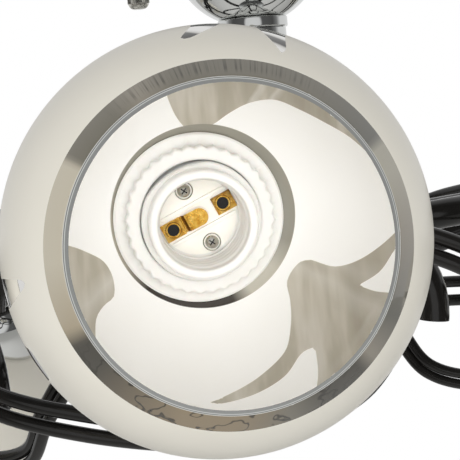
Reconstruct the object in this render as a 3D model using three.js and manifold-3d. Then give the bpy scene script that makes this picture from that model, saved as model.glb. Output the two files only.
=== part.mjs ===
// Five-light ceiling chandelier: a chrome ceiling canopy and column, a chrome hub that carries five
// swirling black tube arms, and at the end of each arm a chrome cup, a screw lampholder and a glass
// ball that a fluted ring nut clamps to the lampholder. Millimetres, +Z up, hanging below Z = 0.
// The origin is the middle of the ceiling bar's upper face, and the first light faces -Y.
import * as THREE from "three";
import { mergeVertices } from "three/addons/utils/BufferGeometryUtils.js";
import Module from "manifold-3d";

const wasm = await Module();
wasm.setup();

// Fits and fineness
const GAP = 0.3;              // clearance between pieces that touch
const WELD_SHARE = 0.01;      // of the gap: corners nearer than this are one corner
const ROUND_SIDES = 16;       // sides of the large turned pieces
const FINE_SIDES = 12;        // sides of the small turned pieces
const CANOPY_SIDES = 24;      // sides of the canopy and the hub
const TUBE_SIDES = 8;
const ROD_SIDES = 6;
const SLOT_END_STEPS = 6;
const SHOULDER_STEPS = 3;
const EDGE_STEPS = 2;         // on a small rounded edge
const BOWL_STEPS = 5;
const BALL_STEPS = 7;

// Ceiling bar and its two studs
const BAR_LENGTH = 134;
const BAR_WIDTH = 18;
const BAR_THICKNESS = 2.5;
const BAR_SLOT_LENGTH = 16;
const BAR_SLOT_WIDTH = 5;
const BAR_SLOT_PLACE = 32;    // from the middle to a slot's middle
const STUD_DIAMETER = 4.8;
const STUD_SPREAD = 112;      // between the two studs
const STUD_END_ABOVE_NUT_TIP = 6;

// Canopy, bowl and collar
const CANOPY_DIAMETER = 150;
const CANOPY_DEPTH = 22;
const CANOPY_SHOULDER = 9;    // radius of the rounded outer edge
const CANOPY_SKIN = 1.2;
const BOWL_RADIUS = 38.2;
const BOWL_DEPTH = 34;
const BOWL_SKIN = 1.2;
const BOWL_LIP = 2.2;         // width of the flange that meets the canopy
const BOWL_LIP_ANGLE = 5;     // degrees of the bowl's round that the flange covers
const COLLAR_DIAMETER = 35;
const COLLAR_HEIGHT = 5.5;
const COLLAR_ROUNDING = 1;

// Knurled cap nuts under the canopy
const CAP_NUT_DIAMETER = 11;
const CAP_NUT_LENGTH = 25;
const CAP_NUT_ROUNDING = 3;
const CAP_NUT_BORE_DEPTH = 17;

// Column, tie bolt and hub
const COLUMN_DIAMETER = 33;
const COLUMN_WALL = 1.2;
const HUB_TOP = 166;          // below the ceiling
const HUB_HEIGHT = 54;
const HUB_DIAMETER = 68;
const HUB_WAIST_DIAMETER = 40;
const HUB_BAND_HEIGHT = 42;   // the full-diameter band that the arms plug into
const HUB_SHOULDER_SHARE = 0.333;    // of a shoulder's height: where its slope breaks
const TIE_ROD_DIAMETER = 9.6;
const TIE_HEAD_ACROSS = 17;
const TIE_HEAD_THICKNESS = 5;
const FINIAL_DIAMETER = 26;
const FINIAL_HEIGHT = 17;
const FINIAL_BAND_SHARE = 0.2;       // of its height: the straight band at its top
const FINIAL_TIP_SHARE = 0.333;      // of its radius: its round tip
const FINIAL_WAIST_SHARE = 0.385;    // of its height: the radius of the round above the tip
const FINIAL_BORE_DEPTH = 9;

// Arms, bows and rods
const ARM_DIAMETER = 12;
const ARM_SOCKET_DEPTH = 9;
const ARM_SOCKET_CLEARANCE = 0.5;
const ARM_ROOT_BELOW_HUB_TOP = 17;
const ARM_LEAD_STRAIGHT = 8;  // straight run outside the hub
const ARM_TAIL_STRAIGHT = 54; // straight run behind the cup
const ARM_STEPS = 21;
const ROD_DIAMETER = 6;
const ROD_PITCH = 10;         // between the two rods at the hub
const ROD_TIP_PITCH = 6.4;    // and at their clip
const ROD_ROOT_BELOW_HUB_TOP = 38;
const ROD_LEAD_STRAIGHT = 8;
const ROD_STATIONS = 14;
const ROD_STEPS = 16;
const CLIP_DIAMETER = 12;
const CLIP_LENGTH = 14;
const BOW_TUBE_DIAMETER = 12;
const BOW_TUBE_WALL = 1;
const BOW_SPAN = 175.3;       // between the two cut ends' centres
const BOW_DROP = 34.8;          // from the crossing down to the cut ends
const BOW_BEND_RADIUS = 33;
const BOW_BEHIND_BALL = 124;
const BOW_OFFSET = 13.65;     // its middle is this far to the leading side of the arm
const BOW_TILT = 7;           // degrees, its leading end lower
const BOW_STEPS = 13;
const BOW_CROSSING_SHARES = [-0.6, 0, 0.6];
const BOW_CLEARANCE = 0.6;    // between the bow and the arm above it

// Glass ball
const BALL_DIAMETER = 130;
const BALL_WALL = 2;
const BALL_SEAT_DIAMETER = 62.48;  // of the flat that rests in the cup's rim
const BALL_NECK_DIAMETER = 43;
const BALL_MOUTH_DIAMETER = 90;
const BALL_MOUTH_TILT = 6.8;    // degrees, the mouth looks up from the neck's axis
const BALL_PAST_MOUTH = 72;     // degrees of the ball's round, past the slanted cut

// Cup, arm spigot and lampholder
const CUP_DIAMETER = 61;
const CUP_DEPTH = 31;
const CUP_RIM_HEIGHT = 3;
const CUP_SKIN = 1.2;
const CUP_BELL_SHARES = [1, 0.667, 0.333];  // of the way from the back round to the rim
const CUP_BACK_DIAMETER = 20;
const SPIGOT_DIAMETER = 9.6;
const SPIGOT_INTO_HOLDER = 7;
const HOLDER_THREAD_DIAMETER = 40;
const HOLDER_NOSE_DIAMETER = 36;
const HOLDER_NOSE_LENGTH = 9;
const HOLDER_INTO_BALL = 22;  // from the ball's seat to the lampholder's front rim
const HOLDER_LENGTH = 48;
const HOLDER_BORE = 28.4;
const HOLDER_BORE_DEPTH = 22;
const HOLDER_TAIL_DIAMETER = 30;
const BASE_THICKNESS = 6;
const CONTACT_THICKNESS = 0.8;
const CONTACT_WIDTH = 6.4;
const CONTACT_PLATE_LENGTH = 7;
const CONTACT_EDGE = 1;       // from the base's edge to a plate
const CONTACT_TONGUE_LENGTH = 9;
const CONTACT_TONGUE_RISE = 3;
const CONTACT_TURN = 29;      // degrees, turned about the lampholder's axis
const SCREW_HEAD_DIAMETER = 5.6;
const SCREW_HEAD_HEIGHT = 1.6;
const SCREW_SPREAD = 18.4;

// Fluted ring nut
const RING_FLANGE_DIAMETER = 58;
const RING_FLANGE_THICKNESS = 2;
const RING_BODY_DIAMETER = 50.4;
const RING_BODY_HEIGHT = 7;
const RING_FLUTE_DEPTH = 1;
const RING_FLUTES = 36;

// The five lights: azimuth from -Y towards +X in degrees, how far the ball hangs down as a share of
// the drop, how far its neck points below level in degrees, how deep its rods sag as a share of the
// sag, and how far apart they lie at the hub as a share of their pitch
const LIGHTS = [
  { azimuth: -4.9, dropShare: 0.707, pitch: 4.1, sagShare: 0.2, spreadShare: 1 },
  { azimuth: 66, dropShare: 1.225, pitch: 40, sagShare: 1.1, spreadShare: 0.64 },
  { azimuth: 132, dropShare: 0.98, pitch: 22, sagShare: 0.567, spreadShare: 1 },
  { azimuth: 225.5, dropShare: 1.339, pitch: 48, sagShare: 0.9, spreadShare: 0.64 },
  { azimuth: 289, dropShare: 1.025, pitch: 22, sagShare: 0.45, spreadShare: 1 },
];
const DROP = 200;             // from the ceiling to a ball's centre
const ROD_SAG = 60;
const REACH = 288.9;          // from the column's axis to a ball's centre
const NECK_YAW = 11.1;        // degrees that a ball's neck is turned from straight out

// Routes of arm and rods: degrees ahead of the light's azimuth, the distance out as a share of a
// bow's (arm) or of a ball's (rods), the share of the way from the root's height to the far end's,
// and a share of the crest or of the sag
const ARM_ROOT_LAG = 84;
const ARM_CREST = 17;         // how far an arm arches above the straight way
const ARM_ROUTE_SHARES = [
  { ahead: -74, out: 0.508, rise: 0.08, bulge: 0.4 },
  { ahead: -59, out: 0.788, rise: 0.25, bulge: 0.9 },
  { ahead: -42, out: 0.946, rise: 0.5, bulge: 1 },
  { ahead: -25, out: 0.972, rise: 0.8, bulge: 0.5 },
];
const ROD_ROOT_LEAD = 112;
const ROD_ROUTE_SHARES = [
  { ahead: 103, out: 0.3, rise: 0, bulge: 0 },
  { ahead: 91, out: 0.44, rise: 0, bulge: -0.05 },
  { ahead: 85.5, out: 0.485, rise: 0, bulge: -0.3 },
  { ahead: 78, out: 0.48, rise: 0, bulge: -0.8 },
  { ahead: 64, out: 0.54, rise: 0, bulge: -1 },
  { ahead: 51, out: 0.64, rise: 0, bulge: -0.68 },
  { ahead: 37, out: 0.72, rise: 0.1, bulge: -0.25 },
  { ahead: 22, out: 0.74, rise: 0.6, bulge: 0 },
];

// Finishes
const finish = (color, roughness, metalness) => new THREE.MeshStandardMaterial({ color, roughness, metalness });
const CHROME = { color: 0xc9ccce, roughness: 0.08, metalness: 1 };
const STEEL = { color: 0xbfb8b2, roughness: 0.35, metalness: 1 };
const BLACK_GLOSS = { color: 0x161513, roughness: 0.12, metalness: 0.2 };
const WHITE_PLASTIC = { color: 0xf6f1e6, roughness: 0.35, metalness: 0 };
const CREAM_PLASTIC = { color: 0xefe9dc, roughness: 0.45, metalness: 0 };
const BRASS = { color: 0xc9952f, roughness: 0.25, metalness: 1 };
const COATED_GLASS = { color: 0xdfdbcf, roughness: 0.12, metalness: 0 };

const chandelier = new THREE.Group();

function place(parent, name, geometry, look) {
  const mesh = new THREE.Mesh(geometry, finish(look.color, look.roughness, look.metalness));
  mesh.name = name;
  parent.add(mesh);
  return mesh;
}

function bare(geometry) {
  const copy = geometry.clone();
  copy.deleteAttribute("normal");
  copy.deleteAttribute("uv");
  return mergeVertices(copy, GAP * WELD_SHARE);
}

function solid(geometry) {
  const merged = bare(geometry);
  return new wasm.Manifold(new wasm.Mesh({
    numProp: 3,
    vertProperties: new Float32Array(merged.attributes.position.array),
    triVerts: new Uint32Array(merged.index.array),
  }));
}

function shape(manifold) {
  const mesh = manifold.getMesh();
  const geometry = new THREE.BufferGeometry();
  geometry.setAttribute("position", new THREE.BufferAttribute(new Float32Array(mesh.vertProperties), 3));
  geometry.setIndex(new THREE.BufferAttribute(new Uint32Array(mesh.triVerts), 1));
  geometry.computeVertexNormals();
  return geometry;
}

function cutAll(body, cutters) {
  return cutters.reduce((left, cutter) => left.subtract(solid(cutter)), solid(body));
}

// A turned piece about Y from its outline, which runs anticlockwise seen with Y up and X right
function turned(outline, sides = ROUND_SIDES) {
  return new THREE.LatheGeometry(outline.map(([radius, height]) => new THREE.Vector2(radius, height)), sides);
}

function closed(outline) {
  return [...outline, outline[0]];
}

// Points along a round stretch of an outline, angles in degrees from the outward direction
function arc(centreRadius, centreHeight, radius, from, to, steps) {
  return Array.from({ length: steps + 1 }, (_, step) => {
    const angle = THREE.MathUtils.degToRad(from + ((to - from) * step) / steps);
    return [centreRadius + radius * Math.cos(angle), centreHeight + radius * Math.sin(angle)];
  });
}

function upright(geometry) {
  return geometry.rotateX(Math.PI / 2);
}

function disc(diameter, height, sides = FINE_SIDES) {
  return new THREE.CylinderGeometry(diameter / 2, diameter / 2, height, sides);
}

function circlePath(Kind, radius, sides) {
  const path = new Kind();
  const points = Array.from({ length: sides }, (_, side) => {
    const angle = (2 * Math.PI * side) / sides;
    return new THREE.Vector2(radius * Math.cos(angle), radius * Math.sin(angle));
  });
  path.setFromPoints(points);
  path.closePath();
  return path;
}

// A round bar or tube along a curve
function swept(curve, diameter, steps, sides, bore = 0) {
  const section = circlePath(THREE.Shape, diameter / 2, sides);
  if (bore > 0) section.holes.push(circlePath(THREE.Path, bore / 2, sides));
  return new THREE.ExtrudeGeometry(section, { steps, extrudePath: curve, curveSegments: 1 });
}

function smooth(points) {
  return new THREE.CatmullRomCurve3(points, false, "centripetal");
}

// A point from its distance to the column's axis, its azimuth in degrees and its height
function around(radius, azimuth, height) {
  const angle = THREE.MathUtils.degToRad(azimuth);
  return new THREE.Vector3(radius * Math.sin(angle), -radius * Math.cos(angle), height);
}

// Ceiling bar with two screw slots and its two studs
function ceilingBar() {
  const end = BAR_WIDTH / 2;
  const outline = new THREE.Shape();
  const half = BAR_LENGTH / 2 - end;
  outline.moveTo(-half, -end);
  outline.lineTo(half, -end);
  outline.absarc(half, 0, end, -Math.PI / 2, Math.PI / 2, false);
  outline.lineTo(-half, end);
  outline.absarc(-half, 0, end, Math.PI / 2, (3 * Math.PI) / 2, false);
  for (const side of [-1, 1]) {
    const slot = new THREE.Path();
    const middle = side * BAR_SLOT_PLACE;
    const reach = (BAR_SLOT_LENGTH - BAR_SLOT_WIDTH) / 2;
    slot.absarc(middle + reach, 0, BAR_SLOT_WIDTH / 2, -Math.PI / 2, Math.PI / 2, false);
    slot.absarc(middle - reach, 0, BAR_SLOT_WIDTH / 2, Math.PI / 2, (3 * Math.PI) / 2, false);
    slot.closePath();
    outline.holes.push(slot);
  }
  const plate = new THREE.ExtrudeGeometry(outline, { depth: BAR_THICKNESS, bevelEnabled: false, curveSegments: SLOT_END_STEPS })
    .translate(0, 0, -BAR_THICKNESS);
  const length = CANOPY_DEPTH + CAP_NUT_LENGTH - STUD_END_ABOVE_NUT_TIP - BAR_THICKNESS / 2;
  const studs = [-1, 1].map((side) => solid(
    upright(disc(STUD_DIAMETER, length))
      .translate((side * STUD_SPREAD) / 2, 0, -(BAR_THICKNESS + length) / 2),
  ));
  return shape(solid(plate).add(studs[0]).add(studs[1]));
}

// Spun canopy dish, open upwards, with holes for the studs and the tie bolt
function canopy() {
  const radius = CANOPY_DIAMETER / 2;
  const hole = TIE_ROD_DIAMETER / 2 + GAP;
  const inner = CANOPY_SHOULDER - CANOPY_SKIN;
  const shoulderRadius = radius - CANOPY_SHOULDER;
  const shoulderHeight = -CANOPY_DEPTH + CANOPY_SHOULDER;
  const dish = upright(turned(closed([
    [hole, -CANOPY_DEPTH],
    ...arc(shoulderRadius, shoulderHeight, CANOPY_SHOULDER, -90, 0, SHOULDER_STEPS),
    [radius, 0],
    [radius - CANOPY_SKIN, 0],
    ...arc(shoulderRadius, shoulderHeight, inner, 0, -90, SHOULDER_STEPS),
    [hole, -CANOPY_DEPTH + CANOPY_SKIN],
  ]), CANOPY_SIDES));
  const holes = [-1, 1].map((side) => upright(disc(STUD_DIAMETER + 2 * GAP, 2 * CANOPY_DEPTH))
    .translate((side * STUD_SPREAD) / 2, 0, -CANOPY_DEPTH));
  return shape(cutAll(dish, holes));
}

// Half-ball bowl under the canopy, with a flange at its top and a flat at its bottom
function canopyBowl() {
  const top = -CANOPY_DEPTH - GAP;
  const hole = TIE_ROD_DIAMETER / 2 + GAP;
  const foot = -THREE.MathUtils.radToDeg(Math.asin(BOWL_DEPTH / BOWL_RADIUS));
  const inner = BOWL_RADIUS - BOWL_SKIN;
  const innerFoot = -THREE.MathUtils.radToDeg(Math.asin((BOWL_DEPTH - BOWL_SKIN) / inner));
  return upright(turned(closed([
    [hole, top - BOWL_DEPTH],
    ...arc(0, top, BOWL_RADIUS, foot, -BOWL_LIP_ANGLE, BOWL_STEPS),
    [BOWL_RADIUS + BOWL_LIP, top - BOWL_SKIN],
    [BOWL_RADIUS + BOWL_LIP, top],
    ...arc(0, top, inner, 0, innerFoot, BOWL_STEPS),
    [hole, top - BOWL_DEPTH + BOWL_SKIN],
  ])));
}

const BOWL_FOOT = -CANOPY_DEPTH - GAP - BOWL_DEPTH;
const COLLAR_TOP = BOWL_FOOT - GAP;
const COLUMN_TOP = COLLAR_TOP - COLLAR_HEIGHT - GAP;
const HUB_TOP_HEIGHT = -HUB_TOP;
const HUB_FOOT = HUB_TOP_HEIGHT - HUB_HEIGHT;

function collar() {
  const radius = COLLAR_DIAMETER / 2;
  const foot = COLLAR_TOP - COLLAR_HEIGHT;
  const hole = TIE_ROD_DIAMETER / 2 + GAP;
  return upright(turned(closed([
    [hole, foot],
    ...arc(radius - COLLAR_ROUNDING, foot + COLLAR_ROUNDING, COLLAR_ROUNDING, -90, 0, EDGE_STEPS),
    ...arc(radius - COLLAR_ROUNDING, COLLAR_TOP - COLLAR_ROUNDING, COLLAR_ROUNDING, 0, 90, EDGE_STEPS),
    [hole, COLLAR_TOP],
  ])));
}

function column() {
  const outer = COLUMN_DIAMETER / 2;
  const foot = HUB_TOP_HEIGHT + GAP;
  return upright(turned(closed([
    [outer - COLUMN_WALL, foot],
    [outer, foot],
    [outer, COLUMN_TOP],
    [outer - COLUMN_WALL, COLUMN_TOP],
  ])));
}

// Long knurled nut with a round tip and a blind bore for its stud
function capNut() {
  const radius = CAP_NUT_DIAMETER / 2;
  const bore = STUD_DIAMETER / 2 + GAP;
  return upright(turned([
    [0, -CAP_NUT_LENGTH],
    ...arc(radius - CAP_NUT_ROUNDING, CAP_NUT_ROUNDING - CAP_NUT_LENGTH, CAP_NUT_ROUNDING, -90, 0, SHOULDER_STEPS),
    [radius, 0],
    [bore, 0],
    [bore, -CAP_NUT_LENGTH + STUD_END_ABOVE_NUT_TIP - GAP],
    [0, -CAP_NUT_LENGTH + STUD_END_ABOVE_NUT_TIP - GAP],
  ], FINE_SIDES));
}

// The tie bolt hangs the hub from the canopy: its head above the canopy, the finial below the hub
const TIE_HEAD_FOOT = -CANOPY_DEPTH + CANOPY_SKIN + GAP;
const TIE_ROD_FOOT = HUB_FOOT - FINIAL_BORE_DEPTH + GAP;

function tieBolt() {
  const length = TIE_HEAD_FOOT + TIE_HEAD_THICKNESS / 2 - TIE_ROD_FOOT;
  const shank = upright(disc(TIE_ROD_DIAMETER, length)).translate(0, 0, TIE_ROD_FOOT + length / 2);
  const hex = circlePath(THREE.Shape, TIE_HEAD_ACROSS / Math.sqrt(3), 6);
  const head = new THREE.ExtrudeGeometry(hex, { depth: TIE_HEAD_THICKNESS, bevelEnabled: false });
  return shape(solid(shank).add(solid(head.translate(0, 0, TIE_HEAD_FOOT))));
}

function finial() {
  const radius = FINIAL_DIAMETER / 2;
  const bore = TIE_ROD_DIAMETER / 2 + GAP;
  const top = HUB_FOOT - GAP;
  const tipRadius = FINIAL_TIP_SHARE * radius;
  return upright(turned([
    [0, top - FINIAL_HEIGHT],
    ...arc(0, top - FINIAL_HEIGHT + tipRadius, tipRadius, -60, 30, EDGE_STEPS),
    ...arc(0, top - FINIAL_HEIGHT / 2, FINIAL_WAIST_SHARE * FINIAL_HEIGHT, -40, -10, 1),
    [radius, top - FINIAL_BAND_SHARE * FINIAL_HEIGHT],
    [radius, top],
    [bore, top],
    [bore, top - FINIAL_BORE_DEPTH],
    [0, top - FINIAL_BORE_DEPTH],
  ], FINE_SIDES));
}

// Turned hub with a blind socket for each arm; the rods end against its band
function hub() {
  const radius = HUB_DIAMETER / 2;
  const waist = HUB_WAIST_DIAMETER / 2;
  const shoulder = (HUB_HEIGHT - HUB_BAND_HEIGHT) / 2;
  const hole = TIE_ROD_DIAMETER / 2 + GAP;
  const body = upright(turned(closed([
    [hole, HUB_FOOT],
    [waist, HUB_FOOT],
    [(radius + waist) / 2, HUB_FOOT + HUB_SHOULDER_SHARE * shoulder],
    [radius, HUB_FOOT + shoulder],
    [radius, HUB_TOP_HEIGHT - shoulder],
    [(radius + waist) / 2, HUB_TOP_HEIGHT - HUB_SHOULDER_SHARE * shoulder],
    [waist, HUB_TOP_HEIGHT],
    [hole, HUB_TOP_HEIGHT],
  ]), CANOPY_SIDES));
  const sockets = LIGHTS.map((light) => socket(light.azimuth - ARM_ROOT_LAG));
  return shape(cutAll(body, sockets));
}

const ARM_ROOT_HEIGHT = HUB_TOP_HEIGHT - ARM_ROOT_BELOW_HUB_TOP;
const ROD_ROOT_HEIGHT = HUB_TOP_HEIGHT - ROD_ROOT_BELOW_HUB_TOP;

function socket(azimuth) {
  const length = ARM_SOCKET_DEPTH + HUB_DIAMETER / 2;
  const centre = around(HUB_DIAMETER / 2 - ARM_SOCKET_DEPTH + length / 2, azimuth, ARM_ROOT_HEIGHT);
  return disc(ARM_DIAMETER + 2 * ARM_SOCKET_CLEARANCE, length, TUBE_SIDES)
    .rotateZ(THREE.MathUtils.degToRad(azimuth))
    .translate(centre.x, centre.y, centre.z);
}

// The light's own frame at the ball's centre: Y out along the neck's axis, Z up, X to the trailing side
function lightFrame(light) {
  const out = around(1, light.azimuth + NECK_YAW, 0);
  const pitch = THREE.MathUtils.degToRad(light.pitch);
  const forward = out.multiplyScalar(Math.cos(pitch)).setZ(-Math.sin(pitch));
  const side = forward.clone().cross(new THREE.Vector3(0, 0, 1)).normalize();
  const frame = new THREE.Matrix4().makeBasis(side, forward, side.clone().cross(forward));
  return frame.setPosition(around(REACH, light.azimuth, -light.dropShare * DROP));
}

const SEAT_DISTANCE = Math.sqrt((BALL_DIAMETER / 2) ** 2 - (BALL_SEAT_DIAMETER / 2) ** 2);
const CUP_RIM = -SEAT_DISTANCE - GAP;
const CUP_BACK = CUP_RIM - CUP_DEPTH;

// A point behind the ball's centre on the neck's axis, or beside it towards the leading side
function behind(light, distance, leading = 0) {
  return new THREE.Vector3(-leading, -distance, 0).applyMatrix4(lightFrame(light));
}

function stations(light, route, reach, rootHeight, endHeight, height) {
  return route.map(({ ahead, out, rise, bulge }) => around(
    out * reach,
    light.azimuth + ahead,
    rootHeight + rise * (endHeight - rootHeight) + bulge * height,
  ));
}

function armCurve(light) {
  const azimuth = light.azimuth - ARM_ROOT_LAG;
  const root = HUB_DIAMETER / 2;
  const tail = -CUP_BACK + GAP;
  const end = behind(light, tail + ARM_TAIL_STRAIGHT);
  return smooth([
    around(root - ARM_SOCKET_DEPTH + GAP, azimuth, ARM_ROOT_HEIGHT),
    around(root, azimuth, ARM_ROOT_HEIGHT),
    around(root + ARM_LEAD_STRAIGHT, azimuth, ARM_ROOT_HEIGHT),
    ...stations(light, ARM_ROUTE_SHARES, REACH - BOW_BEHIND_BALL, ARM_ROOT_HEIGHT, end.z, ARM_CREST),
    end,
    behind(light, tail + ARM_TAIL_STRAIGHT / 2),
    behind(light, tail),
  ]);
}

// Two thin rods side by side from the hub's band to a clip beside the arm's tail
function rodPair(light) {
  const azimuth = light.azimuth + ROD_ROOT_LEAD;
  const root = (radius, offset) => around(radius, azimuth, ROD_ROOT_HEIGHT + offset);
  const start = HUB_DIAMETER / 2;
  const rootPitch = Math.max(ROD_TIP_PITCH, light.spreadShare * ROD_PITCH);
  const beside = (ARM_DIAMETER + CLIP_DIAMETER) / 2 + GAP;
  const clipPlace = -CUP_BACK + CLIP_LENGTH;
  const tip = behind(light, clipPlace, beside);
  const middle = smooth([
    root(start + ROD_LEAD_STRAIGHT, 0),
    ...stations(light, ROD_ROUTE_SHARES, REACH, ROD_ROOT_HEIGHT, tip.z, light.sagShare * ROD_SAG),
    tip,
  ]);
  const leg = (side) => {
    const points = [start + GAP, start + ROD_LEAD_STRAIGHT].map((radius) => root(radius, (side * rootPitch) / 2));
    for (let step = 1; step <= ROD_STATIONS; step += 1) {
      const share = step / ROD_STATIONS;
      const point = middle.getPointAt(share);
      const outward = new THREE.Vector3(point.x, point.y, 0);
      const across = middle.getTangentAt(share).cross(outward).normalize();
      const pitch = THREE.MathUtils.lerp(rootPitch, ROD_TIP_PITCH, share);
      points.push(point.addScaledVector(across, (side * pitch) / 2));
    }
    return solid(swept(smooth(points), ROD_DIAMETER, ROD_STEPS, ROD_SIDES));
  };
  const clip = disc(CLIP_DIAMETER, CLIP_LENGTH, TUBE_SIDES)
    .translate(-beside, -clipPlace, 0)
    .applyMatrix4(lightFrame(light));
  return shape(leg(1).add(leg(-1)).add(solid(clip)));
}

// Bow: a tube arch across the arm's tail whose two square-cut ends point down
function bow(light) {
  const half = BOW_SPAN / 2;
  const inner = half - BOW_BEND_RADIUS;
  const points = [];
  const bend = (side, from, to) => {
    for (const angle of [from, (from + to) / 2, to]) {
      const turn = THREE.MathUtils.degToRad(angle);
      points.push(new THREE.Vector3(
        side * (inner + BOW_BEND_RADIUS * Math.sin(turn)),
        0,
        BOW_BEND_RADIUS * (Math.cos(turn) - 1),
      ));
    }
  };
  points.push(new THREE.Vector3(-half, 0, -BOW_DROP));
  bend(-1, 90, 0);
  for (const share of BOW_CROSSING_SHARES) points.push(new THREE.Vector3(share * inner, 0, 0));
  bend(1, 0, 90);
  points.push(new THREE.Vector3(half, 0, -BOW_DROP));
  const tilt = THREE.MathUtils.degToRad(BOW_TILT);
  const turnToTilt = new THREE.Matrix4().makeRotationY(-tilt);
  const pitch = THREE.MathUtils.degToRad(light.pitch);
  const drop = -(ARM_DIAMETER + BOW_TUBE_DIAMETER) / 2 / Math.cos(tilt) / Math.cos(pitch)
    - BOW_OFFSET * Math.tan(tilt) - BOW_CLEARANCE;
  const yaw = new THREE.Matrix4().makeRotationZ(THREE.MathUtils.degToRad(180 + light.azimuth + NECK_YAW));
  const middle = behind(light, BOW_BEHIND_BALL);
  const placed = points.map((point) => point.applyMatrix4(turnToTilt)
    .add(new THREE.Vector3(-BOW_OFFSET, 0, drop)).applyMatrix4(yaw).add(middle));
  return swept(smooth(placed), BOW_TUBE_DIAMETER, BOW_STEPS, TUBE_SIDES, BOW_TUBE_DIAMETER - 2 * BOW_TUBE_WALL);
}

// Glass ball about its neck's axis: flat seat with the neck hole behind, mouth cut at a slant
function glassBall() {
  const outer = BALL_DIAMETER / 2;
  const inner = outer - BALL_WALL;
  const innerSeat = SEAT_DISTANCE - BALL_WALL;
  const hole = BALL_NECK_DIAMETER / 2;
  const outerFrom = -THREE.MathUtils.radToDeg(Math.asin(SEAT_DISTANCE / outer));
  const innerFrom = -THREE.MathUtils.radToDeg(Math.asin(innerSeat / inner));
  const shell = turned(closed([
    [hole, -SEAT_DISTANCE],
    ...arc(0, 0, outer, outerFrom, BALL_PAST_MOUTH, BALL_STEPS),
    ...arc(0, 0, inner, BALL_PAST_MOUTH, innerFrom, BALL_STEPS - 1),
    [hole, -innerSeat],
  ]));
  const mouthDistance = Math.sqrt(outer ** 2 - (BALL_MOUTH_DIAMETER / 2) ** 2);
  const cutter = disc(2 * BALL_DIAMETER, BALL_DIAMETER, FINE_SIDES)
    .translate(0, mouthDistance + BALL_DIAMETER / 2, 0)
    .rotateX(THREE.MathUtils.degToRad(BALL_MOUTH_TILT));
  return shape(cutAll(shell, [cutter]));
}

function cup() {
  const rim = CUP_DIAMETER / 2;
  const back = CUP_BACK_DIAMETER / 2;
  const hole = SPIGOT_DIAMETER / 2 + GAP;
  const bellDepth = CUP_DEPTH - CUP_RIM_HEIGHT;
  const wall = (skin) => CUP_BELL_SHARES.map((share) => {
    const turn = (share * Math.PI) / 2;
    return [
      back + (rim - back) * Math.sin(turn) - skin,
      CUP_BACK + bellDepth * (1 - Math.cos(turn)) + skin,
    ];
  });
  return turned(closed([
    [hole, CUP_BACK],
    [back, CUP_BACK],
    ...wall(0).reverse(),
    [rim, CUP_RIM],
    [rim - CUP_SKIN, CUP_RIM],
    ...wall(CUP_SKIN),
    [hole, CUP_BACK + CUP_SKIN],
  ]));
}

const HOLDER_FRONT = -SEAT_DISTANCE + HOLDER_INTO_BALL;
const HOLDER_BACK = HOLDER_FRONT - HOLDER_LENGTH;

// Threaded spigot at the arm's end, through the cup's back into the lampholder
function spigot() {
  const front = HOLDER_BACK + SPIGOT_INTO_HOLDER - GAP;
  const length = front - CUP_BACK + SPIGOT_INTO_HOLDER;
  return disc(SPIGOT_DIAMETER, length).translate(0, front - length / 2, 0);
}

// Lampholder shell: threaded skirt, open bore in front, spigot socket behind
function holderShell() {
  const front = HOLDER_FRONT;
  const nose = HOLDER_NOSE_DIAMETER / 2;
  const thread = HOLDER_THREAD_DIAMETER / 2;
  const tail = HOLDER_TAIL_DIAMETER / 2;
  const bore = HOLDER_BORE / 2;
  const floor = front - HOLDER_BORE_DEPTH - BASE_THICKNESS;
  const threadEnd = CUP_RIM - CUP_RIM_HEIGHT;
  return turned([
    [0, HOLDER_BACK + SPIGOT_INTO_HOLDER],
    [SPIGOT_DIAMETER / 2 + GAP, HOLDER_BACK + SPIGOT_INTO_HOLDER],
    [SPIGOT_DIAMETER / 2 + GAP, HOLDER_BACK],
    [tail, HOLDER_BACK],
    [tail, threadEnd - (thread - tail)],
    [thread, threadEnd],
    [thread, front - HOLDER_NOSE_LENGTH],
    [nose, front - HOLDER_NOSE_LENGTH],
    [nose, front],
    [bore, front],
    [bore, floor],
    [0, floor],
  ], ROUND_SIDES);
}

const BASE_FRONT = HOLDER_FRONT - HOLDER_BORE_DEPTH;

// Insulating base at the bore's floor with its two fixing screws
function holderBase() {
  const thickness = BASE_THICKNESS - 2 * GAP;
  const plate = disc(HOLDER_BORE - 2 * GAP, thickness).translate(0, BASE_FRONT - GAP - thickness / 2, 0);
  const screws = [-1, 1].map((side) => solid(
    disc(SCREW_HEAD_DIAMETER, 2 * SCREW_HEAD_HEIGHT, TUBE_SIDES)
      .translate(0, BASE_FRONT - GAP, (side * SCREW_SPREAD) / 2),
  ));
  return shape(solid(plate).add(screws[0]).add(screws[1])).rotateY(THREE.MathUtils.degToRad(CONTACT_TURN));
}

// A flat brass plate on the base, at the bore's edge
function contactPlate(side) {
  return new THREE.BoxGeometry(CONTACT_PLATE_LENGTH, CONTACT_THICKNESS, CONTACT_WIDTH)
    .translate(side * CONTACT_PLATE_MIDDLE, BASE_FRONT + CONTACT_THICKNESS / 2, 0);
}

const CONTACT_PLATE_MIDDLE = HOLDER_BORE / 2 - 2 * GAP - CONTACT_EDGE - CONTACT_PLATE_LENGTH / 2;

// The side plate lies flat, and the centre one rises in a tongue towards the lamp's foot
function sideContact() {
  return contactPlate(-1).rotateY(THREE.MathUtils.degToRad(CONTACT_TURN));
}

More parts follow.
